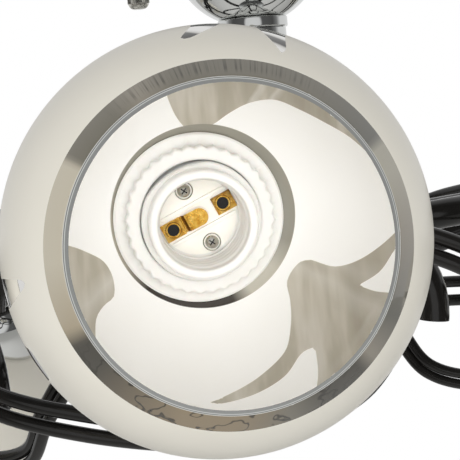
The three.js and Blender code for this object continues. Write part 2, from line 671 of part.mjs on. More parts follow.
function centreContact() {
  const start = CONTACT_PLATE_MIDDLE - CONTACT_PLATE_LENGTH / 2 + CONTACT_THICKNESS;
  const end = start - CONTACT_TONGUE_LENGTH;
  const profile = new THREE.Shape();
  profile.moveTo(start, 0);
  profile.lineTo(start, CONTACT_THICKNESS);
  profile.lineTo(end, CONTACT_TONGUE_RISE + CONTACT_THICKNESS);
  profile.lineTo(end, CONTACT_TONGUE_RISE);
  const tongue = new THREE.ExtrudeGeometry(profile, { depth: CONTACT_WIDTH, bevelEnabled: false })
    .translate(0, BASE_FRONT, -CONTACT_WIDTH / 2);
  return shape(solid(contactPlate(1)).add(solid(tongue))).rotateY(THREE.MathUtils.degToRad(CONTACT_TURN));
}

// Ring nut: a flange against the glass and a fluted body towards the mouth
function ringNut() {
  const flangeBack = -SEAT_DISTANCE + BALL_WALL + GAP;
  const bore = (HOLDER_THREAD_DIAMETER / 2 + GAP) / Math.cos(Math.PI / ROUND_SIDES);
  const flange = turned(closed([
    [bore, flangeBack],
    [RING_FLANGE_DIAMETER / 2, flangeBack],
    [RING_FLANGE_DIAMETER / 2, flangeBack + RING_FLANGE_THICKNESS],
    [bore, flangeBack + RING_FLANGE_THICKNESS],
  ]));
  const crest = RING_BODY_DIAMETER / 2;
  const fluted = new THREE.Shape(Array.from({ length: 2 * RING_FLUTES }, (_, index) => {
    const angle = (Math.PI * index) / RING_FLUTES;
    const radius = index % 2 ? crest - RING_FLUTE_DEPTH : crest;
    return new THREE.Vector2(radius * Math.cos(angle), radius * Math.sin(angle));
  }));
  fluted.holes.push(circlePath(THREE.Path, bore, ROUND_SIDES));
  const body = new THREE.ExtrudeGeometry(fluted, { depth: RING_BODY_HEIGHT, bevelEnabled: false })
    .rotateX(-Math.PI / 2)
    .translate(0, flangeBack + RING_FLANGE_THICKNESS / 2, 0);
  return shape(solid(flange).add(solid(body)));
}

place(chandelier, "ceiling_bar", ceilingBar(), STEEL);
place(chandelier, "canopy", canopy(), CHROME);
place(chandelier, "canopy_bowl", canopyBowl(), CHROME);
place(chandelier, "collar", collar(), CHROME);
place(chandelier, "column_tube", column(), CHROME);
place(chandelier, "tie_bolt", tieBolt(), STEEL);
place(chandelier, "arm_hub", hub(), CHROME);
place(chandelier, "hub_finial", finial(), CHROME);
for (const [side, name] of [[-1, "cap_nut_left"], [1, "cap_nut_right"]]) {
  place(chandelier, name, capNut(), STEEL).position.set((side * STUD_SPREAD) / 2, 0, -CANOPY_DEPTH - GAP);
}

const lightParts = new THREE.Group();
chandelier.add(lightParts);
LIGHTS.forEach((light, index) => {
  const number = index + 1;
  const frame = lightFrame(light);
  const unit = new THREE.Group();
  unit.applyMatrix4(frame);
  lightParts.add(unit);
  const tube = solid(swept(armCurve(light), ARM_DIAMETER, ARM_STEPS, TUBE_SIDES));
  place(lightParts, `arm_${number}`, shape(tube.add(solid(spigot().applyMatrix4(frame)))), BLACK_GLOSS);
  place(lightParts, `bow_${number}`, bow(light), BLACK_GLOSS);
  place(lightParts, `rods_${number}`, rodPair(light), BLACK_GLOSS);
  place(unit, `cup_${number}`, cup(), CHROME);
  place(unit, `holder_shell_${number}`, holderShell(), WHITE_PLASTIC);
  place(unit, `holder_base_${number}`, holderBase(), CREAM_PLASTIC);
  place(unit, `centre_contact_${number}`, centreContact(), BRASS);
  place(unit, `side_contact_${number}`, sideContact(), BRASS);
  place(unit, `shade_ring_${number}`, ringNut(), WHITE_PLASTIC);
  place(unit, `shade_${number}`, glassBall(), COATED_GLASS);
});

export default chandelier;
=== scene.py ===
"""Looks of the five-light chandelier: polished chrome, black enamel tubes, and coated glass balls
with a petal pattern inside. Sizes are in millimetres and every piece is placed in metres."""

import math

import bmesh
import bpy
from mathutils import Matrix, Vector

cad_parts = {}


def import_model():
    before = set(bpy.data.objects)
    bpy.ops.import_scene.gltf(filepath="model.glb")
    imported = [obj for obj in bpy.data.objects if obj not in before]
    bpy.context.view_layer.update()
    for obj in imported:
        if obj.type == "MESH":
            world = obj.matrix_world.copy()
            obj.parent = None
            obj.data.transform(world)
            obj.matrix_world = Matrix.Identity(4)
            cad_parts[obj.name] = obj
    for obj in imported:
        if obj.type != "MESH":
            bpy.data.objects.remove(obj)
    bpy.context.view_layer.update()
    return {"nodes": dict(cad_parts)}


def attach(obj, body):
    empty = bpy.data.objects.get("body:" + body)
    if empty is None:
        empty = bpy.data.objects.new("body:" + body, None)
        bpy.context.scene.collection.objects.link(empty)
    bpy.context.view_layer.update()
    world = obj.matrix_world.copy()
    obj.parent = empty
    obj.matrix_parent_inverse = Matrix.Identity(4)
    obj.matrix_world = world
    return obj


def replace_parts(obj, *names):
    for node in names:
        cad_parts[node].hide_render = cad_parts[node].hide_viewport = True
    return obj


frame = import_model()

MM = 0.001
ROUND_STEPS = 96
SMOOTH_BELOW = math.radians(35)
FIXTURE = "fixture"
LIGHT_NUMBERS = (1, 2, 3, 4, 5)

# Column
CANOPY_RADIUS = 75
CANOPY_DEPTH = 22
CANOPY_SHOULDER = 9
SHEET = 1.2
BOWL_RADIUS = 38.2
BOWL_DEPTH = 34
BOWL_LIP = 2.2
COLLAR_RADIUS = 17.5
COLLAR_HEIGHT = 5.5
COLUMN_RADIUS = 16.5
GAP = 0.3
BOLT_RADIUS = 4.8
STUD_PLACE = 56
NUT_RADIUS = 5.5
NUT_LENGTH = 25
NUT_TIP_RADIUS = 3
NUT_RIBS = 36
RIB_DEPTH = 0.35
HUB_TOP = -166
HUB_HEIGHT = 54
HUB_BAND = 42
HUB_RADIUS = 34
HUB_WAIST = 20
FINIAL_RADIUS = 13
FINIAL_HEIGHT = 17

# Tubes
ARM_RADIUS = 6
ROD_RADIUS = 3
BOW_WALL = 1
REACH = 288.9
NECK_YAW = 11.1
# Degrees and millimetres; the sag and the spread are the pair of rods'
LIGHTS = (
    {"azimuth": -4.9, "drop": 141.4, "pitch": 4.1, "sag": 12, "spread": 10},
    {"azimuth": 66, "drop": 245, "pitch": 40, "sag": 66, "spread": 6.4},
    {"azimuth": 132, "drop": 196, "pitch": 22, "sag": 34.02, "spread": 10},
    {"azimuth": 225.5, "drop": 267.8, "pitch": 48, "sag": 54, "spread": 6.4},
    {"azimuth": 289, "drop": 205, "pitch": 22, "sag": 27, "spread": 10},
)
ARM_ROOT_LAG = 84
ARM_ROOT_HEIGHT = HUB_TOP - 17
ARM_SOCKET = 9
ARM_LEAD = 8
ARM_TAIL = 54
ARM_CREST = 17
ARM_ROUTE = ((-74, 0.508, 0.08, 0.4), (-59, 0.788, 0.25, 0.9), (-42, 0.946, 0.5, 1), (-25, 0.972, 0.8, 0.5))
ROD_ROOT_LEAD = 112
ROD_ROOT_HEIGHT = HUB_TOP - 38
ROD_LEAD = 8
ROD_TIP_PITCH = 6.4
ROD_STATIONS = 14
ROD_ROUTE = (
    (103, 0.3, 0, 0), (91, 0.44, 0, -0.05), (85.5, 0.485, 0, -0.3), (78, 0.48, 0, -0.8),
    (64, 0.54, 0, -1), (51, 0.64, 0, -0.68), (37, 0.72, 0.1, -0.25), (22, 0.74, 0.6, 0),
)
CLIP_RADIUS = 6
CLIP_LENGTH = 14
BOW_SPAN = 175.3
BOW_DROP = 34.8
BOW_BEND = 33
BOW_BEHIND = 124
BOW_OFFSET = 13.65
BOW_TILT = math.radians(7)
BOW_CLEARANCE = 0.6

# Glass ball, from its centre along the neck's axis
BALL_RADIUS = 65
BALL_WALL = 2
RIM_WALL = 0.6
RIM_TAPER = 9
SEAT = -57
NECK_RADIUS = 21.5
MOUTH_RADIUS = 46
MOUTH_TILT = math.radians(6.8)
COAT_EDGE_RADIUS = 51
EDGE_ROUNDING = 0.22
EDGE_TILTS = (0.2458, 0.2515)  # shares of a half turn from the mouth's axis
ZONE_BLUR = 0.12  # degrees

# Cup, lampholder and ring
CUP_RADIUS = 30.5
CUP_DEPTH = 31
CUP_BACK_RADIUS = 10
CUP_RIM = SEAT - GAP
CUP_BACK = CUP_RIM - CUP_DEPTH
HOLDER_FRONT = -35
HOLDER_BACK = -83
THREAD_RADIUS = 20
NOSE_RADIUS = 18.1
THREAD_FRONT = -43.2
BORE_RADIUS = 14.2
BORE_FLOOR = -57
TAIL_RADIUS = 15
SPIGOT_RADIUS = 4.8
RING_BACK = SEAT + BALL_WALL + GAP
FLANGE_RADIUS = 29
FLANGE_THICKNESS = 2
RING_RADIUS = 25.2
RING_FRONT = RING_BACK + 8
RING_HOLE = 20.25
THREAD_PITCH = 2.2
THREAD_DEPTH = 0.9
THREAD_FORM = ((0, 0), (0.7, 0), (1.2, 1), (1.7, 1))  # (rise, share of the depth)
BULB_THREAD_PITCH = 4.2
BULB_THREAD_DEPTH = 0.4
THREAD_FLAT = math.radians(115)
THREAD_FLAT_REACH = math.radians(36)
THREAD_FLAT_DEPTH = 1
RING_FLUTES = 36
FLUTE_DEPTH = 0.8
CONTACT_TURN = math.radians(24)
PLATE_PLACE = 9.6
SCREW_PLACE = 10.1
SCREW_STEPS = 40
RECESS = ((2.75, -0.2), (2.75, 0.1), (2.95, 0.2), (3.15, 0.1), (3.15, -0.2))
SCREW_HEAD = ((0, -0.2), (2.3, -0.2), (2.3, 0.3), (1.9, 0.75), (1.1, 1), (0, 1.1))
# A black disc below each contact's hole: painted shade in the hole
HOLE_SHADE_DISC = ((0, -0.15), (2.05, -0.15), (2.05, 0.1), (0, 0.1))
SLOT_TURN = 0.5
SLOT_HEIGHT = 0.95
SLOT_SIZE = (2.6, 0.4, 0.32)
PLATE_HALF = 3.2
HOLE_RADIUS = 2
BRASS_THICKNESS = 0.7
PLATE_ENDS = {-1: (-3.6, 3.6), 1: (-3.2, 4)}
# (share of the hole's radius, height, darkening)
HOLE_RIM = ((1.06, 0.3, 0), (1.24, 0.35, 0), (1.34, 0, 1), (1.45, 0, 0.35))
BASE_DEPTH = 5.7
BASE_RIB_PLACE = 4.7
BASE_RIB_SIZE = (2 * BORE_RADIUS - 4, 1.2, 1.6)
TONGUE_MIDDLE = -1.4
TONGUE_HALF = 4.7
TONGUE_HALF_WIDTH = 3
TONGUE_THICKNESS = 0.6
TONGUE_CROWN = 0.2
ROUND_END_START = 0.4
ROUND_END_REACH = 2.9
# Along the tongue: (place, darkening, reach) and (place, height)
TONGUE_FOLDS = ((-4.8, 1.6, 0.45), (-3.7, 0.5, 0.5), (-6, 0.4, 0.4))
TONGUE_RISE = ((-6.1, 0.4), (-5.6, 0), (-5.2, 0.2), (-4.7, 1.4), (-4.2, 2), (-2, 2.6), (1, 3.1), (3.4, 3))


# Frames of the lights
def around(radius, azimuth, height):
    """A point round the column, from the front towards the right."""
    turn = math.radians(azimuth)
    return Vector((radius * math.sin(turn), -radius * math.cos(turn), height))


def neck_frame(light):
    """At the ball's centre: Z out along the neck towards the mouth, Y up, X to the leading side."""
    pitch = math.radians(light["pitch"])
    out = around(math.cos(pitch), light["azimuth"] + NECK_YAW, -math.sin(pitch))
    leading = Vector((0, 0, 1)).cross(out).normalized()
    turn = Matrix((leading, out.cross(leading), out)).transposed().to_4x4()
    return Matrix.Translation(around(REACH, light["azimuth"], -light["drop"])) @ turn


def behind(light, distance, leading=0):
    """A point behind the ball's centre on the neck's axis, or beside it."""
    return neck_frame(light) @ Vector((leading, 0, -distance))


# Materials
# Painted reflections and painted shade: tones that stand in for the room and the cup mirrored in bare glass
BRIGHT = (0.555, 0.525, 0.445)
PALE = (0.43, 0.395, 0.32)
LIT = (0.315, 0.3, 0.25)
SAND = (0.32, 0.275, 0.2)
SOFT = (0.225, 0.205, 0.17)
WARM = (0.215, 0.17, 0.11)
SHADED = (0.145, 0.135, 0.11)
SLATE = (0.11, 0.108, 0.095)
DARK = (0.058, 0.054, 0.045)
DEEPEST_SHADE = (0.04, 0.031, 0.022)


def new_material(name):
    """A material with its node tree and its shader."""
    material = bpy.data.materials.new(name)
    material.use_nodes = True
    tree = material.node_tree
    return material, tree, tree.nodes["Principled BSDF"]


def add(tree, kind, **inputs):
    """A node with values for its inputs, whose names have _ for a space."""
    node = tree.nodes.new(kind)
    for key, value in inputs.items():
        node.inputs[key.replace("_", " ")].default_value = value
    return node


def settle(shader, **values):
    """Sets a shader's uniform values."""
    for key, value in values.items():
        shader.inputs[key.replace("_", " ")].default_value = value


def noise(tree, scale, detail=3, source=None):
    node = add(tree, "ShaderNodeTexNoise", Scale=scale, Detail=detail)
    tree.links.new(source or object_place(tree), node.inputs["Vector"])
    return node.outputs["Fac"]


def ramp(tree, source, stops):
    """Colours, or numbers for greys, at places from 0 to 1 of a source."""
    node = tree.nodes.new("ShaderNodeValToRGB")
    elements = node.color_ramp.elements
    for index, (place, colour) in enumerate(stops):
        element = elements[index] if index < len(elements) else elements.new(place)
        element.position = place
        element.color = (*(colour if isinstance(colour, tuple) else 3 * [colour]), 1)
    tree.links.new(source, node.inputs["Fac"])
    return node.outputs["Color"]


def flat(tree, colour):
    node = tree.nodes.new("ShaderNodeRGB")
    node.outputs["Color"].default_value = (*colour, 1)
    return node.outputs["Color"]


def object_place(tree):
    """Where a point lies in its piece, in metres."""
    return tree.nodes.new("ShaderNodeTexCoord").outputs["Object"]


def bump(tree, shader, source, strength, distance=0.0002):
    node = add(tree, "ShaderNodeBump", Strength=strength, Distance=distance)
    tree.links.new(source, node.inputs["Height"])
    tree.links.new(node.outputs["Normal"], shader.inputs["Normal"])


def mixed(tree, factor, low, high):
    """The colour between two colour sockets, by a factor socket."""
    mix = tree.nodes.new("ShaderNodeMix")
    mix.data_type = "RGBA"
    for source, target in ((factor, mix.inputs["Factor"]), (low, mix.inputs[6]), (high, mix.inputs[7])):
        tree.links.new(source, target)
    return mix.outputs[2]


def vary(tree, factor, shader, key, low, high):
    """Takes a number of the shader from low to high as the factor goes from 0 to 1."""
    span = add(tree, "ShaderNodeMapRange", To_Min=low, To_Max=high)
    tree.links.new(factor, span.inputs["Value"])
    tree.links.new(span.outputs["Result"], shader.inputs[key])


def stored(tree, name):
    """The value that the mesh stores at its points under a name."""
    node = tree.nodes.new("ShaderNodeAttribute")
    node.attribute_name = name
    return node.outputs["Fac"]


def about(tree, uv_name):
    """A point's turn about an axis and its tilt from it, as shares."""
    place = tree.nodes.new("ShaderNodeUVMap")
    place.uv_map = uv_name
    split = tree.nodes.new("ShaderNodeSeparateXYZ")
    tree.links.new(place.outputs["UV"], split.inputs["Vector"])
    return split.outputs["X"], split.outputs["Y"]


def around_ramp(tree, uv_name, stops):
    return ramp(tree, about(tree, uv_name)[0], stops)


def mottle(tree, shader, key, scale, detail, low, high):
    """Varies a colour or number of the shader over the piece, between two stops of a noise."""
    tree.links.new(ramp(tree, noise(tree, scale, detail), (low, high)), shader.inputs[key])


def calculate(tree, operation, *values):
    node = tree.nodes.new("ShaderNodeMath")
    node.operation = operation
    for socket, value in zip(node.inputs, values):
        if isinstance(value, float):
            socket.default_value = value
        else:
            tree.links.new(value, socket)
    return node.outputs["Value"]


def zone(tree, name):
    """1 where a stored distance is above 0, with a crisp edge."""
    mask = add(tree, "ShaderNodeMapRange", From_Min=-ZONE_BLUR, From_Max=ZONE_BLUR)
    tree.links.new(stored(tree, name), mask.inputs["Value"])
    return mask.outputs["Result"]


def polished_chrome():
    material, tree, shader = new_material("polished_chrome")
    settle(shader, Metallic=1, Base_Color=(0.72, 0.73, 0.72, 1))
    mottle(tree, shader, "Roughness", 30, 5, (0.4, 0.03), (0.75, 0.1))
    bump(tree, shader, noise(tree, 55, 2), 0.05)
    return material


def zinc_steel():
    material, tree, shader = new_material("zinc_steel")
    settle(shader, Metallic=1)
    mottle(tree, shader, "Base Color", 220, 4, (0.3, (0.5, 0.49, 0.44)), (0.7, (0.74, 0.73, 0.68)))
    mottle(tree, shader, "Roughness", 400, 3, (0.3, 0.14), (0.7, 0.3))
    bump(tree, shader, noise(tree, 900, 3), 0.12, 0.0001)
    return material


def black_enamel():
    material, tree, shader = new_material("black_enamel")
    mottle(tree, shader, "Base Color", 60, 4, (0.35, (0.006, 0.0056, 0.005)), (0.7, (0.011, 0.01, 0.009)))
    mottle(tree, shader, "Roughness", 700, 5, (0.5, 0.09), (0.74, 0.24))
    settle(shader, Specular_IOR_Level=0.4)
    bump(tree, shader, noise(tree, 240, 2), 0.06)
    return material


def moulded_plastic(name, light, dark, roughness, painted_glow=0.0):
    material, tree, shader = new_material(name)
    mottle(tree, shader, "Base Color", 90, 4, (0.3, dark), (0.7, light))
    # The plastic can give off a little light of its own: painted light
    settle(shader, Roughness=roughness, Subsurface_Weight=0.08, Subsurface_Scale=0.002,
           Emission_Color=(*light, 1), Emission_Strength=painted_glow)
    bump(tree, shader, noise(tree, 1400, 3), 0.08, 0.0001)
    return material


def stamped_brass():
    """Gold, and brown where the stored darkening is high: in its folds and grooves."""
    material, tree, shader = new_material("stamped_brass")
    settle(shader, Metallic=0.6)
    gold = ramp(tree, noise(tree, 500, 4), [
        (0.36, (0.62, 0.3, 0.03)), (0.5, (0.84, 0.5, 0.08)), (0.7, (0.95, 0.66, 0.2)),
    ])
    brown = ramp(tree, noise(tree, 900, 3), [(0.35, (0.05, 0.014, 0.003)), (0.65, (0.2, 0.07, 0.012))])
    colour = mixed(tree, stored(tree, "darkening"), gold, brown)
    tree.links.new(colour, shader.inputs["Base Color"])
    mottle(tree, shader, "Roughness", 800, 3, (0.3, 0.15), (0.7, 0.32))
    bump(tree, shader, noise(tree, 700, 3), 0.25, 0.0002)
    return material


def outer_coat():
    """Satin white coat with a few small bare petals, bright as a mirror, coloured with painted reflection: dark and
    light diagonal bands.
    """
    material, tree, shader = new_material("outer_coat")
    bare = zone(tree, "into_petal")
    tint = ramp(tree, noise(tree, 14, 4), [(0.3, (0.645, 0.62, 0.55)), (0.7, (0.695, 0.672, 0.605))])
    reflection_stripes = add(tree, "ShaderNodeTexWave", Scale=27, Distortion=1.5, Detail=1)
    reflection_stripes.bands_direction = "DIAGONAL"
    tree.links.new(object_place(tree), reflection_stripes.inputs["Vector"])
    # Painted reflection: dark and light diagonal bands as the bare petals' colour
    glass = ramp(tree, reflection_stripes.outputs["Fac"], [
        (0.16, (0.04, 0.04, 0.036)), (0.27, (0.32, 0.31, 0.29)), (0.45, (0.66, 0.65, 0.62)), (0.8, (0.85, 0.84, 0.82)),
    ])
    tree.links.new(mixed(tree, bare, tint, glass), shader.inputs["Base Color"])
    vary(tree, bare, shader, "Metallic", 0, 1)
    vary(tree, bare, shader, "Roughness", 0.3, 0.03)
    settle(shader, Specular_IOR_Level=0.3)
    bump(tree, shader, noise(tree, 40, 2), 0.03)
    return material


def petal_frost():
    """Matte white with bare glossy petals, and a bare ring round the neck with the chrome cup behind it. Painted
    reflection and painted highlights lie in the petals, a painted reflection of the cup and a painted dark crescent in
    the ring, and the frost gives off faint painted light.
    """
    material, tree, shader = new_material("petal_frost")
    petal, neck = zone(tree, "into_petal"), zone(tree, "into_neck")
    frost = ramp(tree, noise(tree, 25, 5), [(0.3, (0.87, 0.86, 0.835)), (0.7, (0.92, 0.914, 0.895))])
    # The bare petals' own grey-beige, streaked along one direction with painted reflections
    stretched = add(tree, "ShaderNodeMapping", Scale=(60, 9, 9))
    tree.links.new(object_place(tree), stretched.inputs["Vector"])
    painted_streaks = noise(tree, 2, 3, stretched.outputs["Vector"])
    bare = ramp(tree, painted_streaks, [
        (0.3, (0.4, 0.36, 0.29)), (0.52, (0.48, 0.44, 0.36)), (0.6, (0.57, 0.53, 0.45)), (0.7, (0.66, 0.62, 0.55)),
    ])
    # Painted highlights: narrow pale lines at set turns about the neck, a little wobbled
    wobble = calculate(tree, "MULTIPLY", noise(tree, 90, 2), 0.012)
    glints = ramp(tree, calculate(tree, "ADD", about(tree, "about_neck")[0], wobble), [
        (0.155, 0), (0.159, 0.75), (0.163, 0.1), (0.174, 0.1), (0.178, 0.75), (0.183, 0), (0.57, 0), (0.59, 0.4),
        (0.61, 0.05), (0.905, 0), (0.921, 0.3), (0.932, 0.05), (0.944, 0.25), (0.96, 0),
    ])
    shining = mixed(tree, glints, bare, flat(tree, (0.82, 0.8, 0.75)))
    # Painted reflection of the chrome cup round the neck, with a painted dark crescent below the ring
    painted_cup_reflection = around_ramp(tree, "about_neck", [
        (0, LIT), (0.42, LIT), (0.5, PALE), (0.58, PALE), (0.64, DEEPEST_SHADE), (0.8, DEEPEST_SHADE), (0.835, BRIGHT), (0.89, BRIGHT),
        (0.945, LIT), (1, LIT),
    ])
    colour = mixed(tree, neck, mixed(tree, petal, frost, shining), painted_cup_reflection)
    tree.links.new(colour, shader.inputs["Base Color"])
    either = calculate(tree, "MAXIMUM", petal, neck)
    vary(tree, either, shader, "Roughness", 0.75, 0.1)
    vary(tree, either, shader, "Coat Weight", 0, 0.6)
    # Painted light: the frost gives off faint light of its own, the bare petals and ring don't
    vary(tree, either, shader, "Emission Strength", 0.13, 0)
    settle(shader, Emission_Color=(1, 0.98, 0.94, 1), Coat_Roughness=0.03)
    bump(tree, shader, noise(tree, 2200, 3), 0.1, 0.0001)
    return material


def clear_band():
    """Uncoated glass at the mouth, coloured with painted reflections of the room: grey and beige with darker
    stretches, ticks and thin loops in it.
    """
    material, tree, shader = new_material("clear_band")
    # Painted reflections: tones of the room set round the mouth
    stretches = around_ramp(tree, "about_mouth", [
        (0, SOFT), (0.055, LIT), (0.078, LIT), (0.088, SLATE), (0.16, SHADED), (0.29, SHADED), (0.325, SOFT),
        (0.352, SHADED), (0.405, SHADED), (0.412, PALE), (0.5, PALE), (0.56, SAND), (0.575, DARK), (0.6, DARK),
        (0.69, WARM), (0.74, WARM), (0.79, SHADED), (0.825, DARK), (0.865, DARK), (0.88, SOFT), (0.92, SLATE),
        (1, SOFT),
    ])
    # Painted reflections: thin loops below and short ticks above
    loops = ramp(tree, noise(tree, 130, 2), [(0.47, 0), (0.492, 1), (0.508, 1), (0.53, 0)])
    below = around_ramp(tree, "about_mouth", [(0.57, 0), (0.62, 0.85), (0.82, 0.85), (0.87, 0)])
    above = around_ramp(tree, "about_mouth", [(0.14, 0), (0.2, 0.7), (0.31, 0.7), (0.36, 0)])
    turn, tilt = about(tree, "about_mouth")
    spread = add(tree, "ShaderNodeTexNoise", Scale=1, Detail=2)
    spread.noise_dimensions = "1D"
    tree.links.new(calculate(tree, "MULTIPLY", turn, 300.0), spread.inputs["W"])
    ticks = ramp(tree, spread.outputs["Fac"], [(0.48, 0), (0.66, 0.9)])
    fade = ramp(tree, tilt, [(0.2555, 0), (0.2665, 1), (0.285, 0.5)])
    hatch = calculate(tree, "MULTIPLY", ticks, fade)
    marks = calculate(tree, "ADD", calculate(tree, "MULTIPLY", loops, below),
                      calculate(tree, "MULTIPLY", hatch, above))
    # One dark colour for the painted reflection loops and ticks
    drawn = flat(tree, (0.02, 0.018, 0.014))
    tree.links.new(mixed(tree, marks, stretches, drawn), shader.inputs["Base Color"])
    settle(shader, Roughness=0.06, Coat_Weight=0.3, Coat_Roughness=0.01)
    return material


def glass_edge():
    """Cut rim: fine light and dark rings, painted reflections standing in for what thick glass shows."""
    material, tree, shader = new_material("glass_edge")
    across = add(tree, "ShaderNodeMapRange", From_Min=EDGE_TILTS[0], From_Max=EDGE_TILTS[1])
    tree.links.new(about(tree, "about_mouth")[1], across.inputs["Value"])
    # Painted reflections: light and dark rings across the cut rim
    rings = ramp(tree, across.outputs["Result"], [
        (0.0, (0.2, 0.205, 0.2)), (0.1, (0.4, 0.41, 0.4)), (0.28, (0.44, 0.45, 0.44)), (0.38, (0.1, 0.103, 0.1)),
        (0.52, (0.12, 0.123, 0.12)), (0.6, (0.4, 0.405, 0.39)), (0.74, (0.46, 0.46, 0.44)), (0.83, (0.2, 0.195, 0.18)),
        (0.93, (0.47, 0.44, 0.34)), (1.0, (0.31, 0.29, 0.23)),
    ])
    tree.links.new(rings, shader.inputs["Base Color"])
    settle(shader, Roughness=0.05, Coat_Weight=0.5)
    return material


CHROME = polished_chrome()
STEEL = zinc_steel()
BLACK = black_enamel()
WHITE = moulded_plastic("white_plastic", (0.9, 0.89, 0.865), (0.875, 0.865, 0.835), 0.28)
# The cream base gives off faint light: painted light that lifts it out of the bore's shade
CREAM = moulded_plastic("cream_plastic", (0.94, 0.91, 0.85), (0.91, 0.875, 0.8), 0.45, painted_glow=0.06)
BRASS = stamped_brass()
GLASS = [outer_coat(), petal_frost(), clear_band(), glass_edge()]
COAT_INDEX, FROST_INDEX, BAND_INDEX, EDGE_INDEX = range(4)


# Making pieces
def placed(name, data):
    """A new object in the scene."""
    piece = bpy.data.objects.new(name, data)
    bpy.context.scene.collection.objects.link(piece)
    return piece


def move(mesh, place):
    bmesh.ops.transform(mesh, matrix=place, verts=mesh.verts)


def face_outwards(mesh):
    bmesh.ops.recalc_face_normals(mesh, faces=mesh.faces)


def to_piece(name, mesh, materials, place, body):
    """The bmesh, drawn in millimetres, as a piece of the object that rides on a body."""
    mesh = mesh.copy()
    move(mesh, Matrix.Scale(MM, 4) @ place)
    data = bpy.data.meshes.new(name)
    for material in materials:
        data.materials.append(material)
    for face in mesh.faces:
        face.smooth = True
    for edge in mesh.edges:
        if len(edge.link_faces) == 2 and edge.calc_face_angle(0) > SMOOTH_BELOW:
            edge.smooth = False
    mesh.to_mesh(data)
    mesh.free()
    piece = placed(name, data)
    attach(piece, body)
    return piece


def join(mesh, part):
    """Adds a part to a mesh and frees the part."""
    data = bpy.data.meshes.new("part")
    part.to_mesh(data)
    part.free()
    mesh.from_mesh(data)
    bpy.data.meshes.remove(data)


def arc(centre, radius, start, end, steps):
    """Points of an outline's round stretch, in degrees from straight out towards up."""
    turns = [math.radians(start + (end - start) * step / steps) for step in range(steps + 1)]
    return [(centre[0] + radius * math.cos(turn), centre[1] + radius * math.sin(turn)) for turn in turns]


def spun(outline, closed=True, steps=ROUND_STEPS):
    """A turned shape about Z from (radius, height) points."""
    mesh = bmesh.new()
    points = [mesh.verts.new((radius, 0, height)) for radius, height in outline]
    edges = [mesh.edges.new(pair) for pair in zip(points, points[1:])]
    if closed:
        edges.append(mesh.edges.new((points[-1], points[0])))
    bmesh.ops.spin(mesh, geom=points + edges, cent=(0, 0, 0), axis=(0, 0, 1), angle=math.tau,
                   steps=steps, use_merge=True, use_duplicate=False)
    bmesh.ops.remove_doubles(mesh, verts=mesh.verts, dist=0.001)
    face_outwards(mesh)
    return mesh


def rounded(mesh, width, segments=2, angle=math.radians(40)):
    """Softens every crease sharper than the angle."""
    creases = [edge for edge in mesh.edges if len(edge.link_faces) == 2 and edge.calc_face_angle(0) > angle]
    bmesh.ops.bevel(mesh, geom=creases, offset=width, segments=segments, profile=0.5,
                    affect="EDGES", clamp_overlap=True, material=-1)
    return mesh


def swept_tube(points, radius, sides=24, wall=0):
    """A round tube along points in millimetres; with a wall it is open at both ends."""
    curve = bpy.data.curves.new("route", "CURVE")
    curve.dimensions = "3D"
    curve.bevel_depth = radius
    curve.bevel_resolution = sides // 4
    curve.use_fill_caps = wall == 0
    spline = curve.splines.new("POLY")
    spline.points.add(len(points) - 1)
    for point, place in zip(spline.points, points):
        point.co = (*place, 1)
    holder = placed("route", curve)
    bpy.context.view_layer.update()
    data = bpy.data.meshes.new_from_object(holder.evaluated_get(bpy.context.evaluated_depsgraph_get()))
    bpy.data.objects.remove(holder)
    mesh = bmesh.new()
    mesh.from_mesh(data)
    bpy.data.meshes.remove(data)
    bmesh.ops.remove_doubles(mesh, verts=mesh.verts, dist=0.001)
    face_outwards(mesh)
    if wall:
        bmesh.ops.solidify(mesh, geom=mesh.faces, thickness=wall)
        face_outwards(mesh)
    return mesh


def flowing(stations, spacing=3.0):
    """Points on the centripetal curve through the stations, a few millimetres apart."""
    ends = [stations[0] * 2 - stations[1], *stations, stations[-1] * 2 - stations[-2]]
    points = []
    for before, start, end, after in zip(ends, ends[1:], ends[2:], ends[3:]):
        knots = [0]
        for left, right in ((before, start), (start, end), (end, after)):
            knots.append(knots[-1] + max((right - left).length, 1e-4) ** 0.5)
        steps = max(2, round((end - start).length / spacing))
        for step in range(steps):
            at = knots[1] + (knots[2] - knots[1]) * step / steps

            def between(a, b, low, high):
                return a * ((high - at) / (high - low)) + b * ((at - low) / (high - low))

            first = between(before, start, knots[0], knots[1])
            second = between(start, end, knots[1], knots[2])
            third = between(end, after, knots[2], knots[3])
            near = between(first, second, knots[0], knots[2])
            far = between(second, third, knots[1], knots[3])
            points.append(between(near, far, knots[1], knots[2]))
    return [*points, stations[-1]]


def route(light, stations, reach, root_height, end_height, height):
    """Points from stations of (degrees ahead of the light, share of the reach, share of the way from the
    root's height to the end's, share of an extra height)."""
    climb = end_height - root_height
    return [around(out * reach, light["azimuth"] + ahead, root_height + rise * climb + bulge * height)
            for ahead, out, rise, bulge in stations]


# Column pieces
def sleeve(inner, outer, foot, top):
    """A turned tube between two radii and two heights."""
    return spun([(inner, foot), (outer, foot), (outer, top), (inner, top)])


def canopy():
    outer = (CANOPY_RADIUS - CANOPY_SHOULDER, CANOPY_SHOULDER - CANOPY_DEPTH)
    outline = [
        (BOLT_RADIUS + GAP, -CANOPY_DEPTH),
        *arc(outer, CANOPY_SHOULDER, -90, 0, 16),
        (CANOPY_RADIUS, 0), (CANOPY_RADIUS - SHEET, 0),
        *arc(outer, CANOPY_SHOULDER - SHEET, 0, -90, 16),
        (BOLT_RADIUS + GAP, SHEET - CANOPY_DEPTH),
    ]
    return rounded(spun(outline, steps=128), 0.25)


